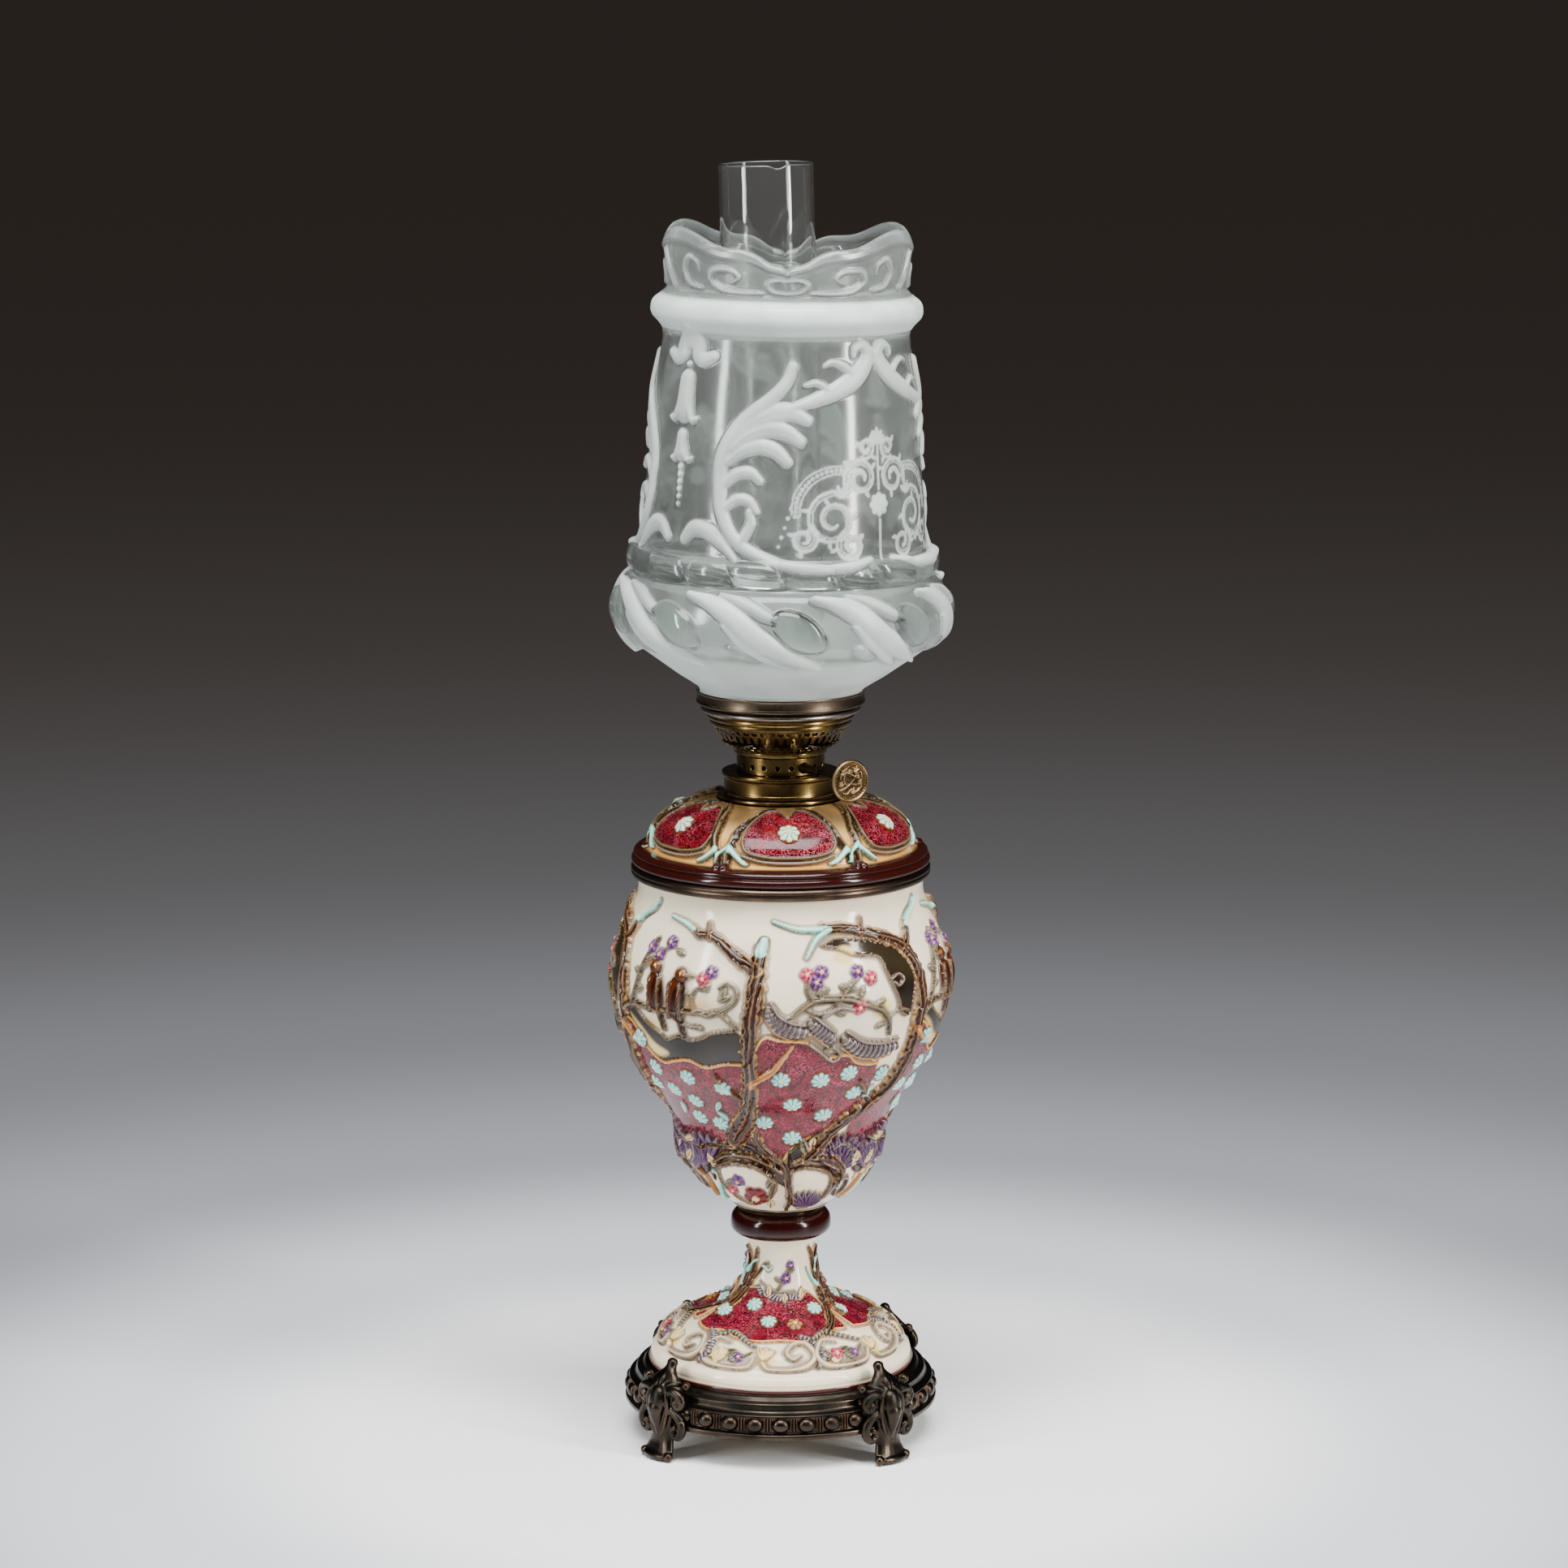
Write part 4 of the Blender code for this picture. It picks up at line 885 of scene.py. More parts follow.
def make_vase():
    v = Relief(VASE_WALL, step=0.62, columns=370, repeats=3, start=-70, colour=CREAM, seed=11)
    paint_vase_panels(v)
    paint_vase_foot(v)
    paint_vase_birds(v)
    paint_vase_spray(v)
    paint_vase_combs(v)
    paint_vase_trees(v)
    spotted_flowers(v, [(-58, 233), (-55, 217), (-38, 215), (-23, 211), (-40, 200), (-43, 189), (15, 217),
                        (5, 202), (-8, 190), (20, 194), (6, 180), (31, 207), (-62, 206), (-50, 205), (0, 218),
                        (-31, 187), (26, 220), (42, 216)])
    leaves(v, [((-30, 196), 60), ((-25, 190), 130), ((36, 204), 50), ((-52, 190), 80)], 9, 3.6, 1.9, AQUA_LEAF)
    # Umber stain and painted shade in the hollows, and a pale painted highlight on the crests.
    v.pool(UMBER, srgb("#f6e2b6"))
    inner = [(74.4, 313.6), (74.0, 304), (80, 290), (85.5, 278), (87.6, 262), (86.8, 248), (83, 233), (74, 213),
             (62, 195), (52, 178), (47, 162), (40, 149), (30, 141), (26.6, 138)]
    rings, looks = v.rings(inner, srgb("#e9dcc4"), lambda r, z, angles: (np.minimum(r, VASE_LIMIT), z))
    settle(mesh_object("glazed_vase", rings, attributes=looks), "stand", "cream_glaze", GLAZE, "vase_body")


DOME_WALL = [
    (80.6, 320.6), (81.6, 322.4), (81.2, 324.4), (79.6, 325.4), (80.4, 327.0), (78.6, 328.8), (74.6, 329.6),
    (71.2, 330.6), (70.6, 333), (69.8, 336), (68.4, 339.5), (65.6, 343.2), (61.6, 346.8), (56.4, 350.1),
    (49.5, 353), (43.5, 354.7), (38, 355.8), (34.9, 356.4),
]


def make_dome():
    """The font's lid: six crimson patches with mint flowers between forked branches."""
    d = Relief(DOME_WALL, step=0.5, columns=140, repeats=6, start=-26, colour=srgb("#d2a05c"), seed=12)
    d.region([(-30, 343), (-10, 346), (10, 346), (34, 343), (34, 352), (4, 354), (-30, 352)], srgb("#e0b268"),
             soft=5)
    d.colour(d.everywhere, smoothstep(345, 353, d.up)[:, None] * (0.8 + 0.2 * d.drift), srgb("#54402c"))
    kidney = [(4, 352.5), (10, 354.6), (18, 354), (24, 350), (26, 344), (23, 338), (14, 335.4), (4, 335),
              (-6, 335.4), (-15, 338), (-18, 344), (-16, 350), (-10, 354), (-2, 354.6)]
    edged_region(d, kidney, CRIMSON, 1.1, TWIG, 1.8, 2.2, mask=1.0, shade=srgb("#480208"))
    bars(d, [
        ([(-24, 329.5), (-24, 335), (-23, 341), (-21, 348), (-15, 353.5), (-6, 356)], (4.6, 4.6, 3.6, 2.4), 2.9,
         TWIG, 1, 0.3),
        ([(33, 329.5), (31, 336), (28, 342), (27, 349), (22, 354), (14, 356)], (4.6, 4.6, 3.6, 2.4), 2.9, TWIG,
         1, 0.3),
        ([(30, 338), (26, 334), (22, 331.5)], (3.6, 2.2), 2.6, AQUA),
        ([(-23, 339), (-18, 334), (-15, 331.5)], (3.6, 2.2), 2.6, AQUA),
        ([(-24, 340), (-28, 336), (-29, 332)], (2.4, 1.4), 1.9, AQUA),
        ([(-17, 336), (-8, 333.4), (4, 332.8), (16, 333.4), (24, 336)], (1.4, 2.2, 1.4), 1.8, GREY_SCROLL),
    ])
    d.oval((4, 346.5), 12.5, 12.5, 0, 1.4, GOLD_LINE[2])
    d.flower((4, 346.5), 5.6, 8, 2.4, (YELLOW, srgb("#c4e4d0"), srgb("#5a5a3c")))
    rim = smoothstep(330.4, 329.4, d.up)[:, None] + 0 * d.ground
    # Umber stain and painted shade in the hollows, and a pale painted highlight on the crests.
    d.pool(UMBER, srgb("#f2d9a0"))
    d.colour(d.everywhere, rim, srgb("#280906"))
    d.mask *= 1 - np.clip(rim, 0, 1)
    inner = [(34.9, 353), (44, 351.4), (56, 346), (65, 338), (68, 331), (76.5, 325.5), (77, 320.6)]
    rings, looks = d.rings(inner, srgb("#cdb48c"), lambda r, z, angles: (r, np.minimum(z, DOME_LIMIT)))
    settle(mesh_object("glazed_dome", rings, attributes=looks), "font", "dome_glaze", GLAZE, "font_dome")


PEDESTAL_WALL = [
    (73.1, 39.5), (73.2, 41.6), (71.6, 42.2), (72, 44.5), (71.3, 47.5), (68.8, 49.4), (66.8, 50.6), (65.2, 54),
    (62, 58.2), (56.2, 62), (47.4, 65.6), (39.4, 69.4), (31.4, 73.8), (25.4, 79.2), (21.6, 86), (19.2, 94),
    (18.3, 100), (18.6, 105.5), (20.4, 110.2), (21.6, 111.6), (25, 112.2), (27.3, 114.6), (27.7, 118.2),
    (27, 122), (24.8, 124.6), (22.8, 125.3),
]


def paint_lip_scrolls(p, at):
    """One pair of C-scrolls on the pedestal's lip. At moves places round to where the pair stands."""
    p.stroke(at((-9, 55), (-6, 52), (3, 51.4), (12, 53), (17, 57.4), (14, 61.8), (7, 62), (3, 59), (6, 56.4),
                (10, 58)),
             (1.4, 2.6, 3.8, 3.8, 3.2, 2.6, 1.8), 2.6, CREAM_SCROLL)
    p.stroke(at((18, 52.4), (22, 57), (19, 62.4), (12, 64.4)), (3.0, 4.8, 4.4, 2.6), 2.4, COMB, ribs=13)
    p.stroke(at((-13, 57), (-16, 52.6), (-26, 51.2), (-38, 53), (-42, 58), (-37, 62.4), (-29, 61.8)),
             (1.6, 3.0, 3.8, 3.6, 2.8, 1.6), 2.6, CREAM_SCROLL)
    p.stroke(at((-42, 63), (-32, 65), (-22, 63.4), (-14, 61)), (2.6, 4.4, 4.0, 2.2), 2.2,
             (OLIVE, srgb("#9a8c7c"), UMBER), ribs=11)
    p.stroke(at((-37, 55), (-30, 58), (-20, 57), (-15, 59)), 1.5, 1.6, TWIG)
    leaves(p, zip(at((-27, 57), (-27, 57), (-34, 57)), (20, 330, 150)), 7, 3.2, 1.6, LEAF_TONES)
    for turn in (50, 80, 110):
        leaves(p, [(place, turn) for place in at((-9, 56), (27, 53))], 9, 3.8, 1.8, GOLD_LEAF)
    blossom(p, *at((-31, 57.6)), 4.0, PINK_FLOWER, 20)
    blossom(p, *at((-21, 56.6)), 3.0, PURPLE_FLOWER, 200)
    p.region(at((-13, 55), (-8, 60), (-2, 57), (-7, 53)), YELLOW, soft=2.5)
    p.region(at((23, 54), (28, 60), (33, 57), (28, 53)), YELLOW, soft=2.5)


def make_pedestal():
    """The glazed foot: spotted burgundy slopes below a grey comb of cloud, and C-scrolls round the lip."""
    p = Relief(PEDESTAL_WALL, step=0.42, columns=300, repeats=3, start=-70, colour=CREAM, seed=13)
    slope = [(-66, 65), (-52, 64), (-40, 65), (-28, 63.5), (-14, 63), (0, 63.5), (14, 63), (26, 64), (38, 65.5),
             (48, 66), (47, 76), (36, 82), (24, 79), (12, 79.5), (0, 79), (-10, 79.5), (-20, 81), (-32, 84),
             (-44, 84), (-60, 82), (-68, 74)]
    edged_region(p, slope, BURGUNDY, 0.7, GOLD_LINE, 1.5, 1.5, mask=1.0, shade=srgb("#64041a"))
    p.stroke([(-34, 85), (-26, 82), (-20, 82.5), (-10, 80.5), (0, 79.5), (12, 80.5), (22, 80), (30, 84)],
             (2.0, 3.6, 3.6, 2.0), 2.0, COMB, ribs=18)
    p.stroke([(-32, 88), (-20, 85), (-6, 83), (8, 83), (20, 83)], (0.9, 1.4, 0.9), 1.8, GREY_SCROLL)
    leaves(p, [((-14, 80), 100), ((4, 77), 85), ((24, 79), 70)], 7, 2.8, 2.2, GOLD_LEAF)
    bars(p, [
        ([(-62, 70), (-54, 78), (-48, 88), (-46, 98), (-42, 105)], (5, 4.4, 3.4, 2.2), 2.4, BARK, 3, 0.3),
        ([(-48, 88), (-38, 92), (-28, 97), (-20, 98)], (2.6, 2.0, 1.2), 2.0, BARK, 1),
        ([(-28, 96), (-20, 94), (-14, 96)], (1.8, 1.0), 1.6, AQUA),
        ([(30, 64.5), (40, 68), (50, 74), (57, 82), (61, 92), (60, 101), (52, 106)], (5.4, 5, 4, 3, 2), 2.4, BARK,
         3, 0.3),
        ([(61, 92), (70, 97), (78, 99)], (2.6, 1.4), 2.0, AQUA),
        ([(57, 84), (50, 90), (46, 94)], (2.2, 1.2), 1.8, AQUA),
        ([(-4, 84), (4, 89), (12, 95), (18, 97)], (1.6, 1.2, 0.9), 1.6, TWIG),
    ])
    leaves(p, [((2, 88), 150), ((10, 93), 20), ((-2, 86), 40)], 5, 2.2, 1.4, LEAF_TONES)
    blossom(p, (8, 90), 3.2, PURPLE_FLOWER)
    blossom(p, (16, 97), 2.6, PURPLE_FLOWER)
    spotted_flowers(p, [(-10, 70), (-30, 76), (36, 74), (-56, 71)], 4.4)
    p.flower((11, 69), 4.4, 6, 1.8, (YELLOW, srgb("#a8743c"), UMBER))
    for shift in (0, -60):
        paint_lip_scrolls(p, lambda *points: [(angle + shift, height) for angle, height in points])
    # Umber stain and painted shade in the hollows, and a pale painted highlight on the crests.
    p.pool(UMBER, srgb("#f6e2b6"), strength=0.9)
    for low, high, colour in ((38, 41.9, "#3a1712"), (111.6, 130, "#260705")):
        band = smoothstep(low - 0.4, low + 0.4, p.up) * smoothstep(high + 0.5, high - 0.3, p.up)
        p.colour(p.everywhere, band[:, None] + 0 * p.ground, srgb(colour))
    inner = [(18, 125.3), (15.4, 110), (15, 95), (20, 82), (36, 68), (55, 58), (62, 50), (65, 39.5)]
    rings, looks = p.rings(inner, srgb("#dccbb0"))
    settle(mesh_object("glazed_pedestal", rings, attributes=looks), "stand", "cream_glaze", GLAZE, "pedestal")


# ---------------------------------------------------------------- glass

SHADE_SEAT, SHADE_LEAN = 409.7, math.radians(0.9)
CHIMNEY_SEAT, CHIMNEY_LEAN = 397.3, math.radians(-1.5)
SHADE_WALL = [
    (44.4, 410.9), (44.5, 416.6), (49.6, 420.6), (57.2, 425.4), (64.0, 430.2), (70.8, 435.0), (77.6, 440.0),
    (83.2, 445.0), (86.8, 449.8), (88.8, 455.2), (89.6, 461), (89.2, 467), (87.8, 472.4), (85.4, 476.8),
    (82.0, 479.6), (81.2, 482.0), (82.2, 485), (82.2, 489.4), (80.4, 493), (77.6, 495.4), (76.6, 499.6),
    (76.1, 510), (75.5, 519), (74.9, 526), (73.9, 536), (73.1, 545), (72.4, 556), (71.4, 569), (70.2, 580),
    (68.8, 590), (67.2, 600), (66.4, 606.6), (66.6, 611), (68.8, 614.4), (72.2, 618.2), (73.0, 622),
    (71.8, 626.2), (68.0, 629.4), (64.6, 633.0), (64.3, 638), (64.8, 646), (65.4, 653), (65.6, 659),
    (64.4, 664.2), (63.0, 666),
]
SHADE_INSIDE = [
    (62.2, 665.2, 0.02), (61.8, 650, 0.02), (61.6, 634, 0.05), (62.4, 626, 0.6), (62.8, 615, 0.6),
    (63.0, 606, 0.1), (64.8, 594, 0.08), (67.2, 575, 0.08), (69.2, 550, 0.08), (71.0, 525, 0.08),
    (72.8, 500, 0.05), (74.6, 490, 0.0), (77.6, 482, 0.0), (82.4, 474.5, 0.02), (85.4, 467.5, 0.04),
    (85.8, 460, 0.06), (82.6, 451.6, 0.25), (75.6, 443.6, 0.8), (66.0, 436.2, 0.9), (55.0, 428.2, 0.95),
    (44, 421, 0.95), (41.1, 418.6, 0.95), (41.0, 410.9, 0.95),
]
BELL_MIDDLE, PANEL_MIDDLE = -48, 42
ETCH_RADIUS = 75.0            # the wall's radius where it is etched
BULGE_STEP, KNOT_COUNT = 45, 18
NO_PAINT = (CREAM,) * 3       # for pieces that use only the relief and the mask
CROWN_FROM, CROWN_DIP, CROWN_SIDE_DIP = 632.0, 0.42, 0.30


def lean(obj, seat, angle):
    """Tilts a glass about its seat on the lamp's axis, to the right where the angle is positive."""
    pivot = Matrix.Translation((0, 0, seat * MM))
    obj.data.transform(pivot @ Matrix.Rotation(angle, 4, "Y") @ pivot.inverted())


def mirrored(points):
    return [(2 * PANEL_MIDDLE - angle, height) for angle, height in points]


def spiral(place, size, turns, start, hand):
    """Points of a volute that winds in to its place, in (degrees, height)."""
    t = np.linspace(0, 1, int(turns * 10) + 2)
    reach = size * (1 - 0.75 * t)
    angle = math.radians(start) + hand * t * turns * math.tau
    return [(place[0] + math.degrees(r * math.cos(a) / ETCH_RADIUS), place[1] + r * math.sin(a))
            for r, a in zip(reach, angle)]


def moulded(s, points, widths, height, frost=0.68):
    """A rounded white bar on the glass."""
    s.stroke(points, widths, height, NO_PAINT, mask=frost)


def etched(s, points, width=0.9, frost=0.75):
    """A thin matt line on the glass."""
    s.stroke(points, width, 0.12, NO_PAINT, mask=frost)


def etched_leaf(s, place, length, width, turn, frost=0.7):
    s.leaf(place, length, width, turn, 0.1, NO_PAINT[:2], mask=frost)


def bead(s, place, size, height=0.1, frost=0.8):
    s.oval(place, size, size, 0, height, CREAM, mask=frost)


def mould_panels(s):
    """Opposed C-scrolls with acanthus leaves, hung from a bracket between bellflowers."""
    scroll = [(39.5, 603), (37, 597), (31, 590), (23, 584.5), (12, 579), (2, 575.5)]
    main = [(3, 597), (0.5, 589), (-6, 580), (-13, 573), (-20, 564), (-24.5, 555), (-27, 545), (-27, 535),
            (-26, 522), (-22, 510), (-16, 502), (-8, 496.5), (2, 493), (12, 491.5), (25, 492), (36, 495)]
    leaves = [
        ([(-20, 560), (-14, 567), (-6, 572), (2, 573), (9, 569)], (7, 10.5, 10.5, 6)),
        ([(-22, 553), (-16, 560), (-8, 564), (0, 563), (6, 558)], (6, 9, 9.5, 6.4)),
        ([(-24, 546), (-18, 552), (-11, 555), (-4, 553), (1, 547)], (5, 8, 8.5, 5.6)),
        ([(-25, 534), (-20, 540), (-14, 541), (-10, 537)], (4.4, 6.4, 6.4, 4.2)),
        ([(-24, 522), (-19, 527), (-14, 526), (-11, 521)], (4, 5.8, 5.6, 3.6)),
        ([(-18, 502), (-15, 509), (-13, 515), (-14, 521)], (4.2, 5.4, 5.2, 3.4)),
        ([(31, 592), (26, 597), (21, 599), (17, 597)], (4, 4.4, 3, 1.2)),
        ([(20, 583), (14, 588), (8, 587)], (3.4, 3.4, 1.4)),
        ([(-43, 504), (-38, 510), (-31, 509), (-24, 502), (-19, 495)], (6, 9, 8.5, 6, 3)),
    ]
    for flip in (lambda points: points, mirrored):
        moulded(s, flip(scroll), (8.5, 10, 10, 8.5, 6.5, 3.5), 2.4)
        moulded(s, flip([(39.6, 603), (36.6, 607.4), (32.4, 606), (31.4, 602)]), (8, 6.4, 4.6, 3), 2.6)
        moulded(s, flip(main), (5.4, 7, 8.4, 8.6, 8, 7, 6.4, 6, 5.2, 4), 2.6)
        for points, widths in leaves:
            moulded(s, flip(points), widths, 2.3)
            etched(s, flip(points), 0.7, 0.45)
    for side in (-1, 1):
        at = lambda *points: [(BELL_MIDDLE + out * side, height) for out, height in points]
        moulded(s, at((0, 612), (5, 605), (5, 601), (9, 598.5), (14, 600.5)), (14, 12, 9, 8, 6), 2.4)
        moulded(s, at((3, 572), (5.4, 566.4), (7.6, 567.6)), (6, 4.6, 2.6), 2.8)
        moulded(s, at((2, 550), (4, 545.4), (5.8, 546.4)), (4.6, 3.6, 2.2), 2.6)
    moulded(s, at((0, 587.5), (0, 580), (0, 571.5)), (10.5, 11.6, 13.8), 3.0)
    moulded(s, at((0, 558), (0, 553), (0, 549.5)), (7.4, 8.4, 10.4), 2.8)
    s.oval((BELL_MIDDLE, 595.5), 3.6, 3.2, 0, 2.4, CREAM, mask=0.9)
    for i, size in enumerate((4.2, 3.8, 3.4, 3.0, 2.6, 2.2)):
        bead(s, (BELL_MIDDLE, 541.5 - i * 3.9), size, 1.8, 0.9)


def etch_panels(s):
    """Fine scrollwork below the C-scrolls: paired volutes, beaded bands and sprays of small leaves."""
    volutes = (((20, 517), 15, 1.6, 90, 1), ((8, 507), 8, 1.4, 60, -1), ((33, 538), 11, 1.6, 200, -1),
               ((28, 503), 9, 1.4, 120, 1), ((36, 554), 6, 1.3, 240, 1))
    for flip in (lambda points: points, mirrored):
        for place, size, turns, start, hand in volutes:
            curve = flip(spiral(place, size, turns, start, hand))
            etched(s, curve, 1.5)
            etched(s, flip(spiral(place, size - 2.2, turns * 0.9, start, hand)), 0.6)
            for i in range(2, len(curve) - 4, 3):
                turn = math.degrees(math.atan2(curve[i][1] - place[1], (curve[i][0] - flip([place])[0][0]) * 1.3))
                etched_leaf(s, curve[i], 4.6, 2.0, turn + 25)
        etched(s, flip([(3, 520), (4, 530), (9, 539), (17, 544), (26, 545)]), 0.7)
        etched(s, flip([(6, 518), (7, 527), (11, 535), (18, 540), (26, 541)]), 0.7)
        for point in smooth_path(flip([(4.5, 519), (5.5, 528.5), (10, 537), (17.5, 542), (26, 543)]), 4):
            bead(s, tuple(point), 1.9)
        for point in flip([(-2 + i * 1.2, 503 + i * 5) for i in range(5)]):
            bead(s, point, 1.8)
        for turn in (40, 75, 110, 140):
            etched_leaf(s, flip([(24, 528)])[0], 7.5, 2.6, 180 - turn if flip is mirrored else turn)
    for i in range(-3, 4):
        etched_leaf(s, (PANEL_MIDDLE, 556), 9 - abs(i), 3.0, 90 + i * 26, 0.75)
    s.flower((PANEL_MIDDLE, 524), 5.5, 8, 0.15, NO_PAINT, mask=0.8)
    for low, high in ((495, 516), (532, 556)):
        etched(s, [(PANEL_MIDDLE, low), (PANEL_MIDDLE, high)], 1.2)


def mould_bulge(s):
    """Swirled leaves between clear bosses round the shade's widest part, under a ring of knots."""
    for shift in range(0, 180, BULGE_STEP):
        at = lambda *points: [(angle + shift, height) for angle, height in points]
        moulded(s, at((-34, 476), (-25, 473), (-17, 466), (-8, 455), (3, 446), (14, 441)),
                (4, 10, 13, 12.5, 9, 4), 4.2, 0.72)
        moulded(s, at((-22, 477), (-14, 474), (-6, 468), (1, 463)), (3, 7, 7, 3), 3.0, 0.5)
        moulded(s, at((-20, 462), (-13, 452), (-4, 444), (5, 439)), (3, 7, 7, 3), 3.0, 0.72)
        s.oval(*at((6, 459)), 34, 20, -34, 4.2, CREAM)
        s.oval(*at((-14, 446)), 20, 10, -30, 2.4, CREAM, mask=0.12)
    ring = smoothstep(480, 483, s.up) * smoothstep(495, 492, s.up)
    slant = np.radians(s.angles)[None, :] + (s.up[:, None] - 487) * 0.006
    s.ground += ring[:, None] * (np.abs(np.sin(slant * KNOT_COUNT / 2)) ** 0.5 * 3.2 - 1.0)


def mould_crown(s):
    """The satin scalloped crown: a moulded lip, a loop at each deep dip and curls in each lobe."""
    for side in (-1, 1):
        at = lambda *points: [(side * angle, height) for angle, height in points]
        moulded(s, at((0, 637), (6, 638), (9, 643), (7, 649), (0, 652)), (3.4, 3.2, 2.6), 1.8, 0.34)
        moulded(s, at((12, 636), (22, 635), (32, 637), (38, 643), (35, 650), (27, 651), (23, 646), (27, 642)),
                (2.6, 4.4, 4.0, 1.8), 1.9, 0.34)
        moulded(s, at((44, 636), (52, 638), (56, 645), (52, 652), (46, 651), (45, 646)), (2.4, 4, 3.4, 1.6), 1.8,
                0.34)
        moulded(s, at((66, 636), (72, 644), (74, 656)), (5, 6, 3), 2.2, 0.3)
        moulded(s, at((88, 636), (84, 642), (86, 650)), (3, 4, 2), 1.6, 0.28)
    s.ground += smoothstep(656, 661, s.up)[:, None] * 1.4


def scallop(r, z, angles):
    """Cuts the crown down to its dips, and curls its tips outwards."""
    turn = np.radians(angles)
    lobe = np.abs(np.sin(turn)) ** 0.75 * (1 - CROWN_SIDE_DIP * np.exp(-(np.cos(turn) / 0.28) ** 2))
    lobe = np.minimum(1, 1.12 * lobe)
    along = np.abs(np.sin(turn))
    lobe = lobe - 0.075 * (1 - np.cos(math.tau * (along - 0.30) / 0.52)) * smoothstep(0.02, 0.2, along)
    share = CROWN_DIP + (1 - CROWN_DIP) * lobe
    rise = np.clip(z - CROWN_FROM, 0, None)
    r = r + 2.4 * (rise / 34) ** 2 * (lobe - 0.35)
    return np.minimum(r, CROWN_LIMIT), np.where(rise > 0, CROWN_FROM + rise * share[None, :], z)


def make_shade():
    s = Relief(SHADE_WALL, step=0.66, columns=380, repeats=2, start=-50, colour=CREAM, seed=21)
    white_bowl = smoothstep(445, 437, s.up)
    white_ring = smoothstep(611, 613.5, s.up) * smoothstep(631.5, 628.5, s.up)
    bulge = smoothstep(437, 446, s.up) * smoothstep(481, 476, s.up)
    crown = smoothstep(629, 634, s.up)
    wall = 0.13 * (1 - crown) + 0.20 * crown
    frost = np.maximum.reduce([wall, white_bowl * 0.97, white_ring, bulge * 0.15])
    knots = smoothstep(479, 482, s.up) * smoothstep(497, 494, s.up)
    s.mask[:] = (frost * (1 - knots) + 0.12 * knots)[:, None]
    mould_panels(s)
    etch_panels(s)
    mould_bulge(s)
    mould_crown(s)
    s.raised = s.blur(s.raised, 0.5)
    s.mask = s.blur(s.mask, 0.35)
    rings, looks = s.rings(SHADE_INSIDE, CREAM, scallop)
    shade = mesh_object("moulded_shade", rings, attributes={"mask": looks["mask"]})
    lean(shade, SHADE_SEAT, SHADE_LEAN)
    settle(shade, "shade", "satin_glass", SATIN, "shade")


def make_chimney():
    """The plain glass chimney, with a small chip out of its rim."""
    radius, wall, foot, tall = 25.5, 1.6, 30.6, 699.2
    low = CHIMNEY_SEAT + 0.3 + foot * math.sin(abs(CHIMNEY_LEAN))
    nip = smooth_path([(radius, 470), (25.3, 457), (22.6, 446.5), (20.2, 439), (22.4, 431.5), (28.8, 425.4),
                       (30.5, 421)])
    outer = np.vstack([[(radius, tall - h) for h in (0.7, 1.1, 2.0, 4.0)],
                       [(radius, h) for h in np.linspace(690, 480, 24)], nip,
                       [(foot, h) for h in np.linspace(419, low + 0.5, 5)], [(foot - 0.4, low)]])
    inner = [(r - wall, h) for r, h in outer[::-1]]
    inner[0] = (foot - wall + 0.4, low)
    crest = [(radius - wall + 0.3, tall - 0.1), (radius - wall / 2, tall), (25.2, tall - 0.15)]
    rings = spun(np.vstack([outer, inner[:-1], [(radius - wall, tall - 0.7)], crest]), 192)
    angles = np.degrees(np.arctan2(rings[..., 0], -rings[..., 1]))
    chip = np.exp(-((angles - 13) / 7.0) ** 2) * 1.9 + np.exp(-((angles - 20) / 3.5) ** 2) * 0.7
    rings[..., 2] -= chip * smoothstep(tall - 3, tall - 0.2, rings[..., 2])
    chimney = mesh_object("glass_chimney", rings)
    lean(chimney, CHIMNEY_SEAT, CHIMNEY_LEAN)
    settle(chimney, "chimney", "clear_glass", CHIMNEY_GLASS, "chimney")


# ---------------------------------------------------------------- turned, pierced and embossed metal

WINDER_ANGLE, WINDER_HEIGHT = 32.0, 375.4
KNOB_REACH, KNOB_RADIUS = 69.8, 11.4
HOLE_COUNT, ARCH_COUNT, FINGER_COUNT = 20, 48, 12
AIR_HOLE_RADIUS, BUSH_HOLE_RADIUS = 1.3, 2.9


def turned_piece(name, outline, body, slot, material, nodes, columns=200, corner=0.5):
    rings = spun(round_corners(outline, corner), columns)
    return settle(mesh_object(name, rings), body, slot, material, *nodes)


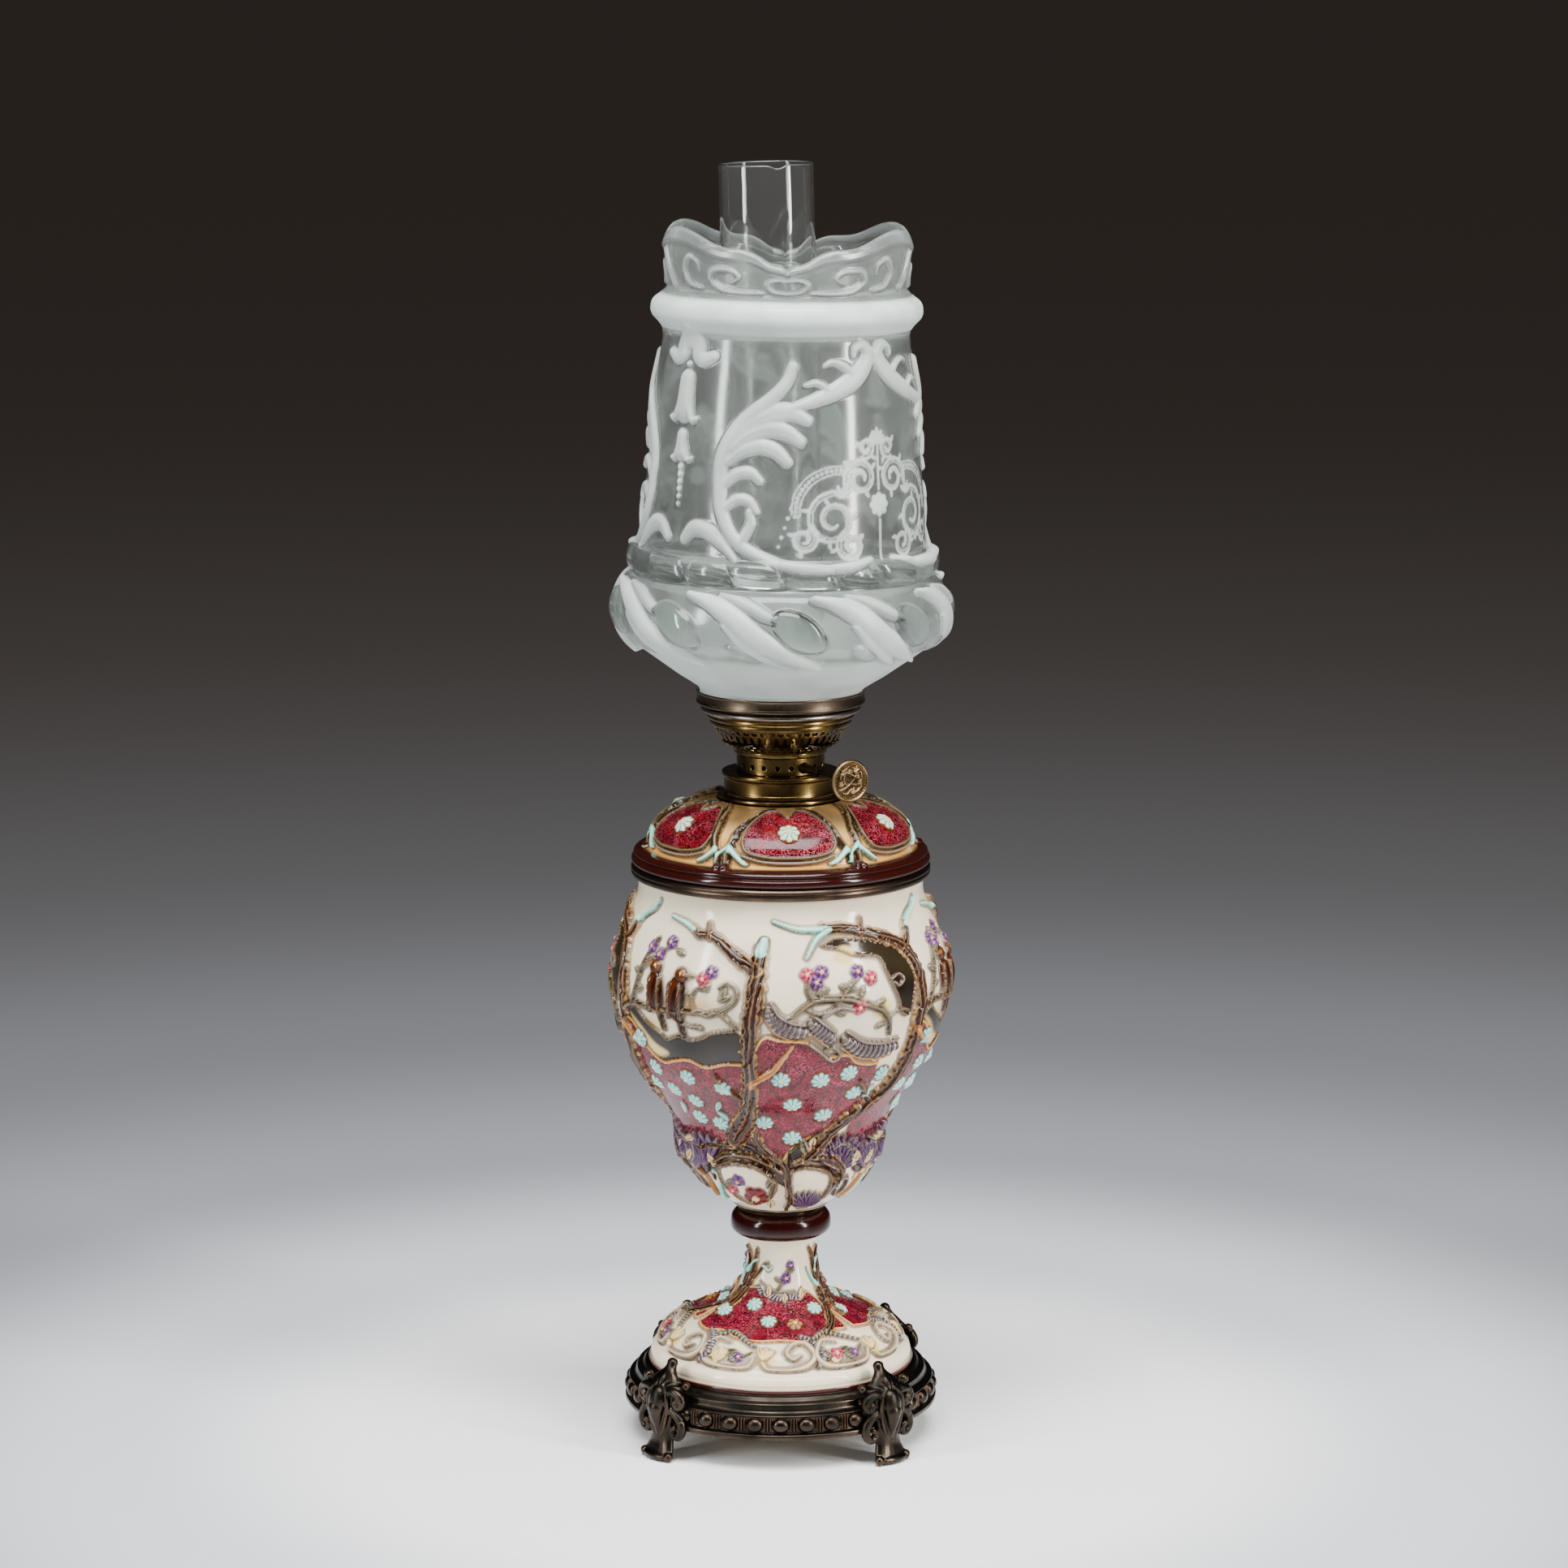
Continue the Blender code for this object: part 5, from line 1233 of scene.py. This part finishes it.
def pierced_piece(name, outline, columns, is_hole, thickness, body, slot, material, nodes, step=0.3, start=0.0):
    """A thin turned wall with holes, from a fine grid whose cells are dropped where there is a hole."""
    dense = smooth_path(outline, 8)
    travelled = travelled_along(dense)
    at = np.linspace(0, travelled[-1], int(travelled[-1] / step) + 2)
    line = np.stack([np.interp(at, travelled, dense[:, 0]), np.interp(at, travelled, dense[:, 1])], axis=1)
    middle = (line[1:] + line[:-1]) / 2
    angles = start + (np.arange(columns) + 0.5) * 360 / columns
    holes = is_hole(angles[None, :], middle[:, :1], middle[:, 1:])
    rings = spun(line, columns)
    if start:
        turn = math.radians(start)
        x, y = rings[..., 0].copy(), rings[..., 1].copy()
        rings[..., 0] = x * math.cos(turn) - y * math.sin(turn)
        rings[..., 1] = x * math.sin(turn) + y * math.cos(turn)
    obj = mesh_object(name, rings, closed_loop=False, keep=~holes)
    shell = bmesh.new()
    shell.from_mesh(obj.data)
    bmesh.ops.delete(shell, geom=[v for v in shell.verts if not v.link_faces], context="VERTS")
    for _ in range(2):
        rim = [v for v in shell.verts if v.is_boundary]
        for level in (True, False):
            bmesh.ops.smooth_vert(shell, verts=rim, factor=0.5, use_axis_x=level, use_axis_y=level,
                                  use_axis_z=not level)
    shell.to_mesh(obj.data)
    shell.free()
    wall = obj.modifiers.new("wall", "SOLIDIFY")
    wall.thickness, wall.offset = thickness * MM, 0
    return settle(obj, body, slot, material, *nodes)


def make_burner():
    turned_piece("collar_flange", [(34.5, 358.7), (34.5, 357.3), (34.2, 356.9), (26.3, 357.1), (26.3, 340),
                                   (24.8, 340), (24.8, 358.7)], "font", "aged_brass", BRASS, ["font_collar"])
    base = [(32.0, 371.0), (32.0, 369.0), (31.0, 368.4), (30.8, 367.6), (30.8, 361.4), (31.2, 360.9),
            (31.2, 360.1), (30.6, 360.0), (24.4, 360.0), (24.4, 345.0), (23.4, 345.0), (23.4, 361.2),
            (29.8, 361.2), (29.8, 369.8), (23.2, 369.8), (23.2, 365.0), (15.5, 365.0), (15.5, 366.2),
            (22.2, 366.2), (22.2, 371.0)]
    turned_piece("burner_drum", base, "burner", "aged_brass", BRASS, ["burner_base"], corner=0.35)

    def air_holes(angles, radius, height):
        pitch = 360 / HOLE_COUNT
        away = (angles - WINDER_ANGLE + pitch / 2) % pitch - pitch / 2
        hole = np.hypot(np.radians(away) * radius, height - WINDER_HEIGHT) < AIR_HOLE_RADIUS
        out = np.radians((angles - WINDER_ANGLE + 180) % 360 - 180) * radius
        return hole | (np.hypot(out, height - WINDER_HEIGHT) < BUSH_HOLE_RADIUS)

    pierced_piece("air_drum_wall", [(23.55, 371.3), (23.55, 374), (23.55, 377), (23.55, 380.6)], 520, air_holes,
                  0.8, "burner", "aged_brass", BRASS, ["air_drum"])


def arches(angles, radius, height):
    """Interlaced pointed arches, a row of hearts above them and small holes below."""
    u = (angles * ARCH_COUNT / 360) % 1 - 0.5
    v = (height - 386.6) / 7.6
    arch = (np.abs(u) < 0.34 * np.sqrt(np.clip(1 - v ** 2, 0, 1))) & (v > 0.16)
    half = (angles * ARCH_COUNT / 360 + 0.5) % 1 - 0.5
    heart = (np.abs(half) < 0.34 - 0.5 * np.clip(395.4 - height, 0, 2)) & (height > 394.2) & (height < 396.6)
    foot = (np.abs(half) < 0.30 * (1 - v * 1.2)) & (v > -0.02) & (v < 0.5) & ~arch
    small = np.hypot(half * 3.6, height - 385.3) < 0.66
    return arch | heart | foot | small


def make_gallery():
    lower = [(24.9, 381.4), (25.0, 383.2), (26.6, 384.2), (30.0, 386.2), (33.0, 389.6), (35.6, 393.8),
             (37.4, 397.4)]
    pierced_piece("pierced_basket", lower, ARCH_COUNT * 18, arches, 0.6, "gallery", "aged_brass", BRASS,
                  ["gallery_basket"], step=0.26)
    bands = [(37.2, 397.0), (38.6, 397.6), (38.8, 399.4), (38.4, 400.0), (39.8, 400.6), (40.2, 402.0),
             (39.8, 402.8), (41.0, 403.4), (41.9, 404.4), (41.9, 405.4), (41.2, 405.7), (40.0, 405.4),
             (38.6, 402.4), (37.6, 400.6), (36.6, 397.6)]
    turned_piece("basket_bands", bands, "gallery", "aged_brass", BRASS, [], corner=0.4)
    foot = [(25.3, 381.2), (25.5, 383.4), (25.0, 383.9), (24.3, 383.7), (24.4, 381.2)]
    turned_piece("basket_foot", foot, "gallery", "aged_brass", BRASS, [], corner=0.3)
    ring = [(45.9, 415.8), (45.3, 416.0), (44.9, 415.4), (44.9, 409.7), (40.2, 409.7), (40.0, 405.9),
            (40.9, 405.9), (41.3, 407.9), (44.6, 408.3), (45.9, 409.0), (45.9, 410.2), (45.5, 410.6),
            (45.5, 414.6), (45.9, 415.0)]
    turned_piece("shade_cup", ring, "gallery", "aged_brass", GREY_BRASS, ["shade_ring"], corner=0.3)
    angles = np.linspace(0, math.tau, 12, endpoint=False)
    wire = [(42.2 + 1.3 * math.cos(a), 405.6 + 1.3 * math.sin(a)) for a in angles]
    turned_piece("silvered_bead", wire, "gallery", "aged_brass", STEEL, [], corner=0.1)

    def slots(angles, radius, height):
        pitch = 360 / FINGER_COUNT
        return (np.abs((angles + 0 * height) % pitch - pitch / 2) < 6.5) & (height > 399.5)

    pierced_piece("chimney_fingers", [(26.4, 397), (31, 397), (35.5, 397.1), (35.6, 399.6), (33.8, 404),
                                      (31.7, 409.4)],
                  360, slots, 0.6, "gallery", "aged_brass", SOOTY, ["chimney_crown"], step=0.5)


def winder_frame():
    """The turn and shift from a piece built up +Z to one that points out along the spindle."""
    turn = math.radians(WINDER_ANGLE)
    out = Vector((math.sin(turn), -math.cos(turn), 0))
    right = Vector((-out.y, out.x, 0))
    frame_turn = Matrix((right, Vector((0, 0, 1)), out)).transposed().to_4x4()
    return Matrix.Translation((0, 0, WINDER_HEIGHT * MM)) @ frame_turn


def segment_distance(x, y, path):
    best = np.full(x.shape, 1e9)
    for (ax, ay), (bx, by) in zip(path, path[1:]):
        dx, dy = bx - ax, by - ay
        t = np.clip(((x - ax) * dx + (y - ay) * dy) / (dx * dx + dy * dy), 0, 1)
        best = np.minimum(best, np.hypot(x - ax - t * dx, y - ay - t * dy))
    return best


def knob_height(x, y):
    """The knob's face: a raised rim, a beaded ring and a flowering branch."""
    r, angle = np.hypot(x, y), np.arctan2(y, x)
    height = 0.9 * np.exp(-((r - 10.5) / 0.55) ** 2) + 0.25 * np.exp(-((r - 8.9) / 0.3) ** 2)
    height = height + 0.3 * np.exp(-((r - 9.6) / 0.4) ** 2) * (np.cos(angle * 40) > 0)
    stems = [[(-6.5, -4.6), (-3.4, -3.4), (0, -1.2), (2.6, 2.0), (3.6, 6.2)],
             [(0, -1.2), (3.6, -2.2), (6.4, -1.0)], [(-2.4, -2.8), (-4.4, 0.6), (-3.6, 4.6)],
             [(2.6, 2.0), (-0.4, 4.2)], [(-6.8, 1.6), (-5.6, 4.8), (-2.4, 7.2)],
             [(0.6, -6.8), (3.6, -5.8), (6.4, -3.8)], [(-4.6, -6.2), (-2.2, -6.6), (0.4, -4.2)],
             [(6.8, 1.6), (6.6, 4.0)]]
    for stem in stems:
        path = smooth_path(stem, 4)
        height = np.maximum(height, 0.75 * np.clip(1 - (segment_distance(x, y, path) / 0.62) ** 2, 0, 1))
    for cx, cy, size in ((3.6, 5.6, 2.3), (6.0, -1.4, 2.2), (-4.0, 4.6, 2.4), (-0.6, 4.8, 1.7), (-5.8, -1.4, 1.9),
                         (1.6, -5.4, 2.2), (4.6, 2.0, 1.5)):
        rho, phi = np.hypot(x - cx, y - cy), np.arctan2(y - cy, x - cx)
        petal = size * (0.72 + 0.28 * np.abs(np.cos(phi * 2.5)))
        bloom = np.sqrt(np.clip(1 - (rho / petal) ** 2, 0, 1)) * (0.55 + 0.45 * np.abs(np.cos(phi * 2.5)))
        height = np.maximum(height, 0.95 * bloom * (1 - 0.5 * np.exp(-(rho / 0.4) ** 2)))
    ground = 0.22 * np.sin(x * 2.3 + 1.4 * np.sin(y * 1.9)) * np.sin(y * 2.6 + 1.2 * np.sin(x * 1.7)) * (r < 8.6)
    return height * 1.35 + ground


def make_winder():
    frame_turn = winder_frame()
    radii = np.concatenate([[0.02], np.linspace(0.25, KNOB_RADIUS - 0.5, 56)])
    angles = np.arange(180) * math.tau / 180
    x, y = radii[:, None] * np.cos(angles), radii[:, None] * np.sin(angles)
    face = knob_height(x, y)
    angles, x, y, face = angles[::-1], x[:, ::-1], y[:, ::-1], face[:, ::-1]
    front = np.stack([x, y, KNOB_REACH + 0.15 + face], axis=-1)
    back_line = [(KNOB_RADIUS - 0.12, KNOB_REACH + 0.6), (KNOB_RADIUS, KNOB_REACH + 0.2),
                 (KNOB_RADIUS, KNOB_REACH - 0.5), (KNOB_RADIUS - 0.4, KNOB_REACH - 0.9), (6, KNOB_REACH - 1.05),
                 (2.6, KNOB_REACH - 1.3), (2.1, 67.4), (2.0, 66.2), (1.3, 66.0), (0.02, 66.0)]
    back_radii, back_heights = np.array(back_line, float).T
    back = np.stack([np.outer(back_radii, np.cos(angles)), np.outer(back_radii, np.sin(angles)),
                     np.repeat(back_heights[:, None], len(angles), axis=1)], axis=-1)
    worn = np.vstack([smoothstep(0.25, 0.8, face), np.full((len(back_line), len(angles)), 0.3)])
    knob = mesh_object("winder_disc", np.vstack([front, back]), attributes={"mask": worn})
    knob.data.transform(frame_turn)
    settle(knob, "winder", "aged_brass", BRASS_RELIEF, "winder_knob")
    for name, outline, body, node in (
            ("winder_rod", [(1.2, 16.6), (1.2, 30), (1.2, 50), (1.2, 66.6), (0.05, 66.6), (0.05, 16.6)], "winder",
             "winder_spindle"),
            ("winder_bush", [(1.5, 39.6), (2.2, 40.0), (2.5, 38.6), (2.2, 37.4), (2.6, 25.0), (2.9, 24.2),
                             (2.6, 23.6), (2.6, 21.4), (1.5, 21.4)], "burner", "spindle_bush")):
        piece = mesh_object(name, spun(round_corners(outline, 0.2), 48))
        piece.data.transform(frame_turn)
        settle(piece, body, "aged_brass", SOOTY, node)


def make_bands():
    band = [(80.0, 320.2), (80.9, 319.8), (81.8, 318.6), (81.4, 317.4), (81.8, 316.4), (81.4, 314.8),
            (80.4, 313.8), (78.6, 313.6), (78.3, 318.8), (73.8, 318.8), (73.8, 320.3)]
    turned_piece("vase_rim_band", band, "stand", "dark_bronze", BAND, ["rim_band"], columns=300, corner=0.4)
    cup = [(26.8, 130.3), (26.3, 129.0), (24.4, 127.6), (23.6, 126.2), (22.8, 125.7), (5.5, 125.7), (5.5, 127.0),
           (22.0, 127.0), (24.9, 130.3)]
    turned_piece("vase_cup", cup, "stand", "aged_brass", GREY_BRASS, ["join_collar"], columns=160, corner=0.3)


# ---------------------------------------------------------------- cast base

BASE_YAW = -3.0
FOOT_ANGLES = {"front_right": -45, "rear_right": 45, "rear_left": 135, "front_left": 225}
BEAD_COUNT = 37
BAR_SIDES = 14                # facets round a cast bar before it is remeshed
FOOT_VOXEL = 0.42
WEAR_PASSES = 14              # smoothing passes between the surface and what it stands proud of
SOLE_HEIGHT = 0.02            # how far the soles stay above the floor
BASE_WALL = [
    (86.0, 18.1), (86.4, 18.7), (86.4, 20.2), (85.8, 21.0), (84.2, 21.3), (83.4, 21.9), (83.3, 25.4),
    (83.3, 29.8), (84.0, 30.3), (84.3, 30.9), (83.4, 31.5), (81.6, 31.9), (80.5, 33.0), (80.2, 34.6),
    (79.9, 36.0), (78.8, 36.8), (77.0, 37.1), (76.2, 37.9), (75.4, 38.9), (74.6, 39.2),
]


def make_base_ring():
    """The cast ring: a bead-and-reel course under a stepped cornice."""
    pitch = 360 / BEAD_COUNT
    b = Relief(BASE_WALL, step=0.28, columns=54, repeats=BEAD_COUNT, start=-pitch / 2, colour=CREAM, seed=31)
    b.oval((0, 25.8), 9.6, 8.4, 0, 3.6, CREAM)
    for shift, height in ((-0.11, 1.3), (0.0, 1.7), (0.11, 1.3)):
        b.stroke([(pitch * (0.5 + shift), 22.4), (pitch * (0.5 + shift), 29.4)], 1.05, height, NO_PAINT)
    surface = b.ground + b.raised
    crest = smoothstep(0.15, 0.8, surface - b.blur(surface, 0.9))
    edge = smoothstep(85.9, 86.4, b.radius)[:, None] * 0.2
    b.mask = np.clip(crest * 0.3 + edge * 0.2, 0, 1)
    inner = [(73.6, 39.2), (73.4, 35.6), (63.0, 35.6), (63.0, 33.0), (74.0, 33.0), (79.6, 28.5), (80.4, 18.2),
             (83, 18.0)]
    rings, looks = b.rings(inner, CREAM)
    ring = mesh_object("beaded_ring", rings, attributes={"mask": looks["mask"]})
    settle(ring, "stand", "dark_bronze", BRONZE, "base_ring")


def tube_into(shape, path):
    """A tapered bar with round ends through (x, y, z, radius) points."""
    path = smooth_path(path, 5)
    rings = []
    for i, (x, y, z, r) in enumerate(path):
        ahead = Vector(path[min(i + 1, len(path) - 1)][:3]) - Vector(path[max(i - 1, 0)][:3])
        level = abs(ahead.normalized().z) < 0.9
        side = ahead.cross(Vector((0.3, 0.2, 1)) if level else Vector((1, 0, 0))).normalized()
        up = side.cross(ahead).normalized()
        rings.append([shape.verts.new(Vector((x, y, z)) + (side * math.cos(a) + up * math.sin(a)) * max(r, 0.2))
                      for a in np.arange(BAR_SIDES) * math.tau / BAR_SIDES])
    for one, two in zip(rings, rings[1:]):
        for j in range(BAR_SIDES):
            shape.faces.new((one[j], one[(j + 1) % BAR_SIDES], two[(j + 1) % BAR_SIDES], two[j]))
    for ring, end, flip in ((rings[0], path[0], True), (rings[-1], path[-1], False)):
        tip = shape.verts.new(Vector(end[:3]))
        for j in range(BAR_SIDES):
            pair = (ring[(j + 1) % BAR_SIDES], ring[j]) if flip else (ring[j], ring[(j + 1) % BAR_SIDES])
            shape.faces.new((*pair, tip))
    ball_into(shape, path[0][:3], [max(path[0][3], 0.2)] * 3)
    ball_into(shape, path[-1][:3], [max(path[-1][3], 0.2)] * 3)


def ball_into(shape, place, radii, turn=0.0):
    """An oval ball, turned about Y by some degrees."""
    oval = Matrix.Rotation(math.radians(turn), 4, "Y") @ Matrix.Diagonal((*radii, 1))
    bmesh.ops.create_uvsphere(shape, u_segments=20, v_segments=12, radius=1,
                              matrix=Matrix.Translation(place) @ oval)


def foot_shape():
    """One cast foot along +X: a flame crest over a teardrop, with volutes each side and a curled toe."""
    shape = bmesh.new()
    for x, z, thick, half in smooth_path([(79.4, 51.6, 2.8, 3.0), (80.4, 49.6, 2.8, 3.4), (81.4, 47.6, 3.0, 5.0),
                                          (83.0, 45.0, 3.4, 8.4), (84.8, 41.6, 3.8, 10.6),
                                          (86.0, 36.6, 4.0, 10.8), (86.6, 30, 4.0, 9.8), (86.6, 23, 4.0, 8.8),
                                          (86.6, 16.4, 4.0, 8.2), (87.2, 10.4, 4.0, 8.8), (88.4, 6.4, 4.0, 10.0),
                                          (89.8, 3.6, 3.6, 11.0)], 5):
        ball_into(shape, (x, 0, z), (thick, half, 2.6))
    ball_into(shape, (79.3, 0, 52.0), (3.0, 3.2, 2.8))
    ball_into(shape, (90.0, 0, 32.4), (4.8, 5.8, 8.8), -4)
    tube_into(shape, [(90.6, 0, 29, 5.2), (90.6, 0, 24, 4.0), (90.2, 0, 19.4, 2.6), (89.8, 0, 15.4, 1.3)])
    for k in range(-3, 4):
        tube_into(shape, [(88.6, k * 1.7, 40.0, 1.5), (87.0, k * 3.0, 43.4 - abs(k) * 0.8, 1.7),
                          (84.8, k * 4.1, 45.8 - abs(k) * 1.7, 1.7), (83.0, k * 4.5, 46.8 - abs(k) * 1.9, 1.7)])
    for side in (-1, 1):
        tube_into(shape, [(88.8, side * 2.4, 41.8, 1.2), (89.8, side * 6.6, 38.0, 1.3),
                          (90.2, side * 7.8, 31.6, 1.3), (90.0, side * 6.6, 24.2, 1.2),
                          (89.8, side * 4.4, 17.6, 1.1), (89.6, side * 2.6, 12.6, 1.0)])
        ball_into(shape, (83.2, side * 15.4, 42.6), (2.6, 2.6, 2.6))
        tube_into(shape, [(88.0, side * 6.4, 39.0, 2.4), (87.8, side * 10.6, 39.2, 2.6),
                          (87.2, side * 14.6, 37.6, 2.4), (87.0, side * 16.6, 34.6, 2.2),
                          (87.2, side * 15.2, 31.6, 2.0), (87.8, side * 12.6, 31.4, 1.8),
                          (88.4, side * 11.8, 33.6, 1.7), (88.8, side * 13.4, 35.0, 1.5)])
        tube_into(shape, [(87.6, side * 8.0, 28.6, 2.6), (87.2, side * 12.0, 26.6, 2.6),
                          (86.8, side * 15.4, 22.8, 2.6), (86.8, side * 16.0, 18.0, 2.5),
                          (87.0, side * 13.6, 14.6, 2.4), (87.4, side * 10.6, 14.8, 2.2),
                          (87.8, side * 9.8, 17.8, 1.9), (88.4, side * 11.6, 19.4, 1.7)])
        ball_into(shape, (91.0, side * 9.6, 2.9), (2.6, 2.6, 2.6))
    tube_into(shape, [(92.4, -6.4, 2.4, 1.9), (93.2, -2.4, 2.5, 2.1), (93.2, 2.4, 2.5, 2.1),
                      (92.4, 6.4, 2.4, 1.9)])
    mesh = bpy.data.meshes.new("foot_rough")
    shape.to_mesh(mesh)
    shape.free()
    rough = bpy.data.objects.new("foot_rough", mesh)
    PIECES.objects.link(rough)
    remesh = rough.modifiers.new("remesh", "REMESH")
    remesh.mode, remesh.voxel_size = "VOXEL", FOOT_VOXEL
    smooth = rough.modifiers.new("smooth", "SMOOTH")
    smooth.iterations = 2
    bpy.context.view_layer.update()
    made = bpy.data.meshes.new_from_object(rough.evaluated_get(bpy.context.evaluated_depsgraph_get()))
    bpy.data.objects.remove(rough)
    return made


def values_of(items, key, width, kind=np.float32):
    """One row of values for each vertex or edge."""
    values = np.empty(len(items) * width, kind)
    items.foreach_get(key, values)
    return values.reshape(-1, width)


def wear_of(mesh):
    """How proud each vertex stands of its smoothed neighbourhood, from 0 to 1."""
    places = values_of(mesh.vertices, "co", 3).astype(float)
    a, b = values_of(mesh.edges, "vertices", 2, np.int32).T
    count = np.bincount(a, minlength=len(places)) + np.bincount(b, minlength=len(places))
    soft = places.copy()
    for _ in range(WEAR_PASSES):
        total = np.stack([np.bincount(a, soft[b, i], len(places)) + np.bincount(b, soft[a, i], len(places))
                          for i in range(3)], axis=1)
        soft = total / np.maximum(count, 1)[:, None]
    proud = ((places - soft) * values_of(mesh.vertices, "normal", 3)).sum(axis=1)
    return 0.75 * smoothstep(0.16, 0.9, proud)


def make_feet():
    mesh = foot_shape()
    worn = mesh.attributes.new("mask", "FLOAT", "POINT")
    worn.data.foreach_set("value", wear_of(mesh).astype(np.float32))
    places = values_of(mesh.vertices, "co", 3)
    height = places[:, 2]
    places[:, 2] = np.maximum(np.where(height < 1.0, (height - 0.4) * 1.7, height), SOLE_HEIGHT)
    mesh.vertices.foreach_set("co", places.ravel())
    mesh.transform(Matrix.Scale(MM, 4))
    mesh.shade_smooth()
    for place, degrees in FOOT_ANGLES.items():
        own = mesh.copy()
        own.transform(Matrix.Rotation(math.radians(BASE_YAW + degrees), 4, "Z"))
        settle(add_piece(f"cast_foot_{place}", own), "stand", "dark_bronze", BRONZE, f"foot_{place}")


def make_tank():
    """The tinned oil tank, which is seen when the font is lifted out, and the outer wick tube."""
    outline = [(0, 222.2), (0, 221.0), (56.0, 223.0), (62.0, 230.0), (62.0, 316.0), (58.0, 321.0), (27.8, 330.0),
               (27.8, 350.6), (26.6, 350.6), (26.6, 329.0), (57.4, 319.8), (60.8, 315.6), (60.8, 230.4),
               (55.4, 224.2)]
    tank = mesh_object("tinned_tank", spun(round_corners(outline, 0.5), 180))
    shape = bmesh.new()
    shape.from_mesh(tank.data)
    bmesh.ops.remove_doubles(shape, verts=shape.verts, dist=0.01 * MM)
    loose = [edge for edge in shape.edges if not edge.link_faces]
    bmesh.ops.delete(shape, geom=loose, context="EDGES")
    shape.to_mesh(tank.data)
    shape.free()
    settle(tank, "font", "tinned_sheet", TIN, "oil_tank")
    tube = [(15.2, 411.5), (15.2, 346.5), (14.4, 346.5), (14.4, 411.5)]
    turned_piece("outer_wick_tube", tube, "burner", "aged_brass", BRASS, ["wick_tube_outer"], 96, 0.2)


def dress_cad():
    """Materials for the inner pieces that keep their CAD shapes."""
    looks = {STEEL: ["foot_screw_front_right", "foot_screw_rear_right", "foot_screw_rear_left",
                     "foot_screw_front_left", "tie_strap", "tie_rod", "tie_nut_lower", "tie_nut_upper",
                     "tie_washer"],
             FELT: ["felt_washer"], LEATHER: ["burner_washer"], COTTON: ["wick"],
             BRASS: ["wick_tube_inner", "winder_pinion", "wick_carrier", "wick_rack"]}
    for material, nodes in looks.items():
        for node in nodes:
            dress(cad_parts[node], material)


make_studio()
make_vase()
make_dome()
make_pedestal()
make_shade()
make_chimney()
make_bands()
make_burner()
make_gallery()
make_winder()
make_tank()
make_base_ring()
make_feet()
dress_cad()
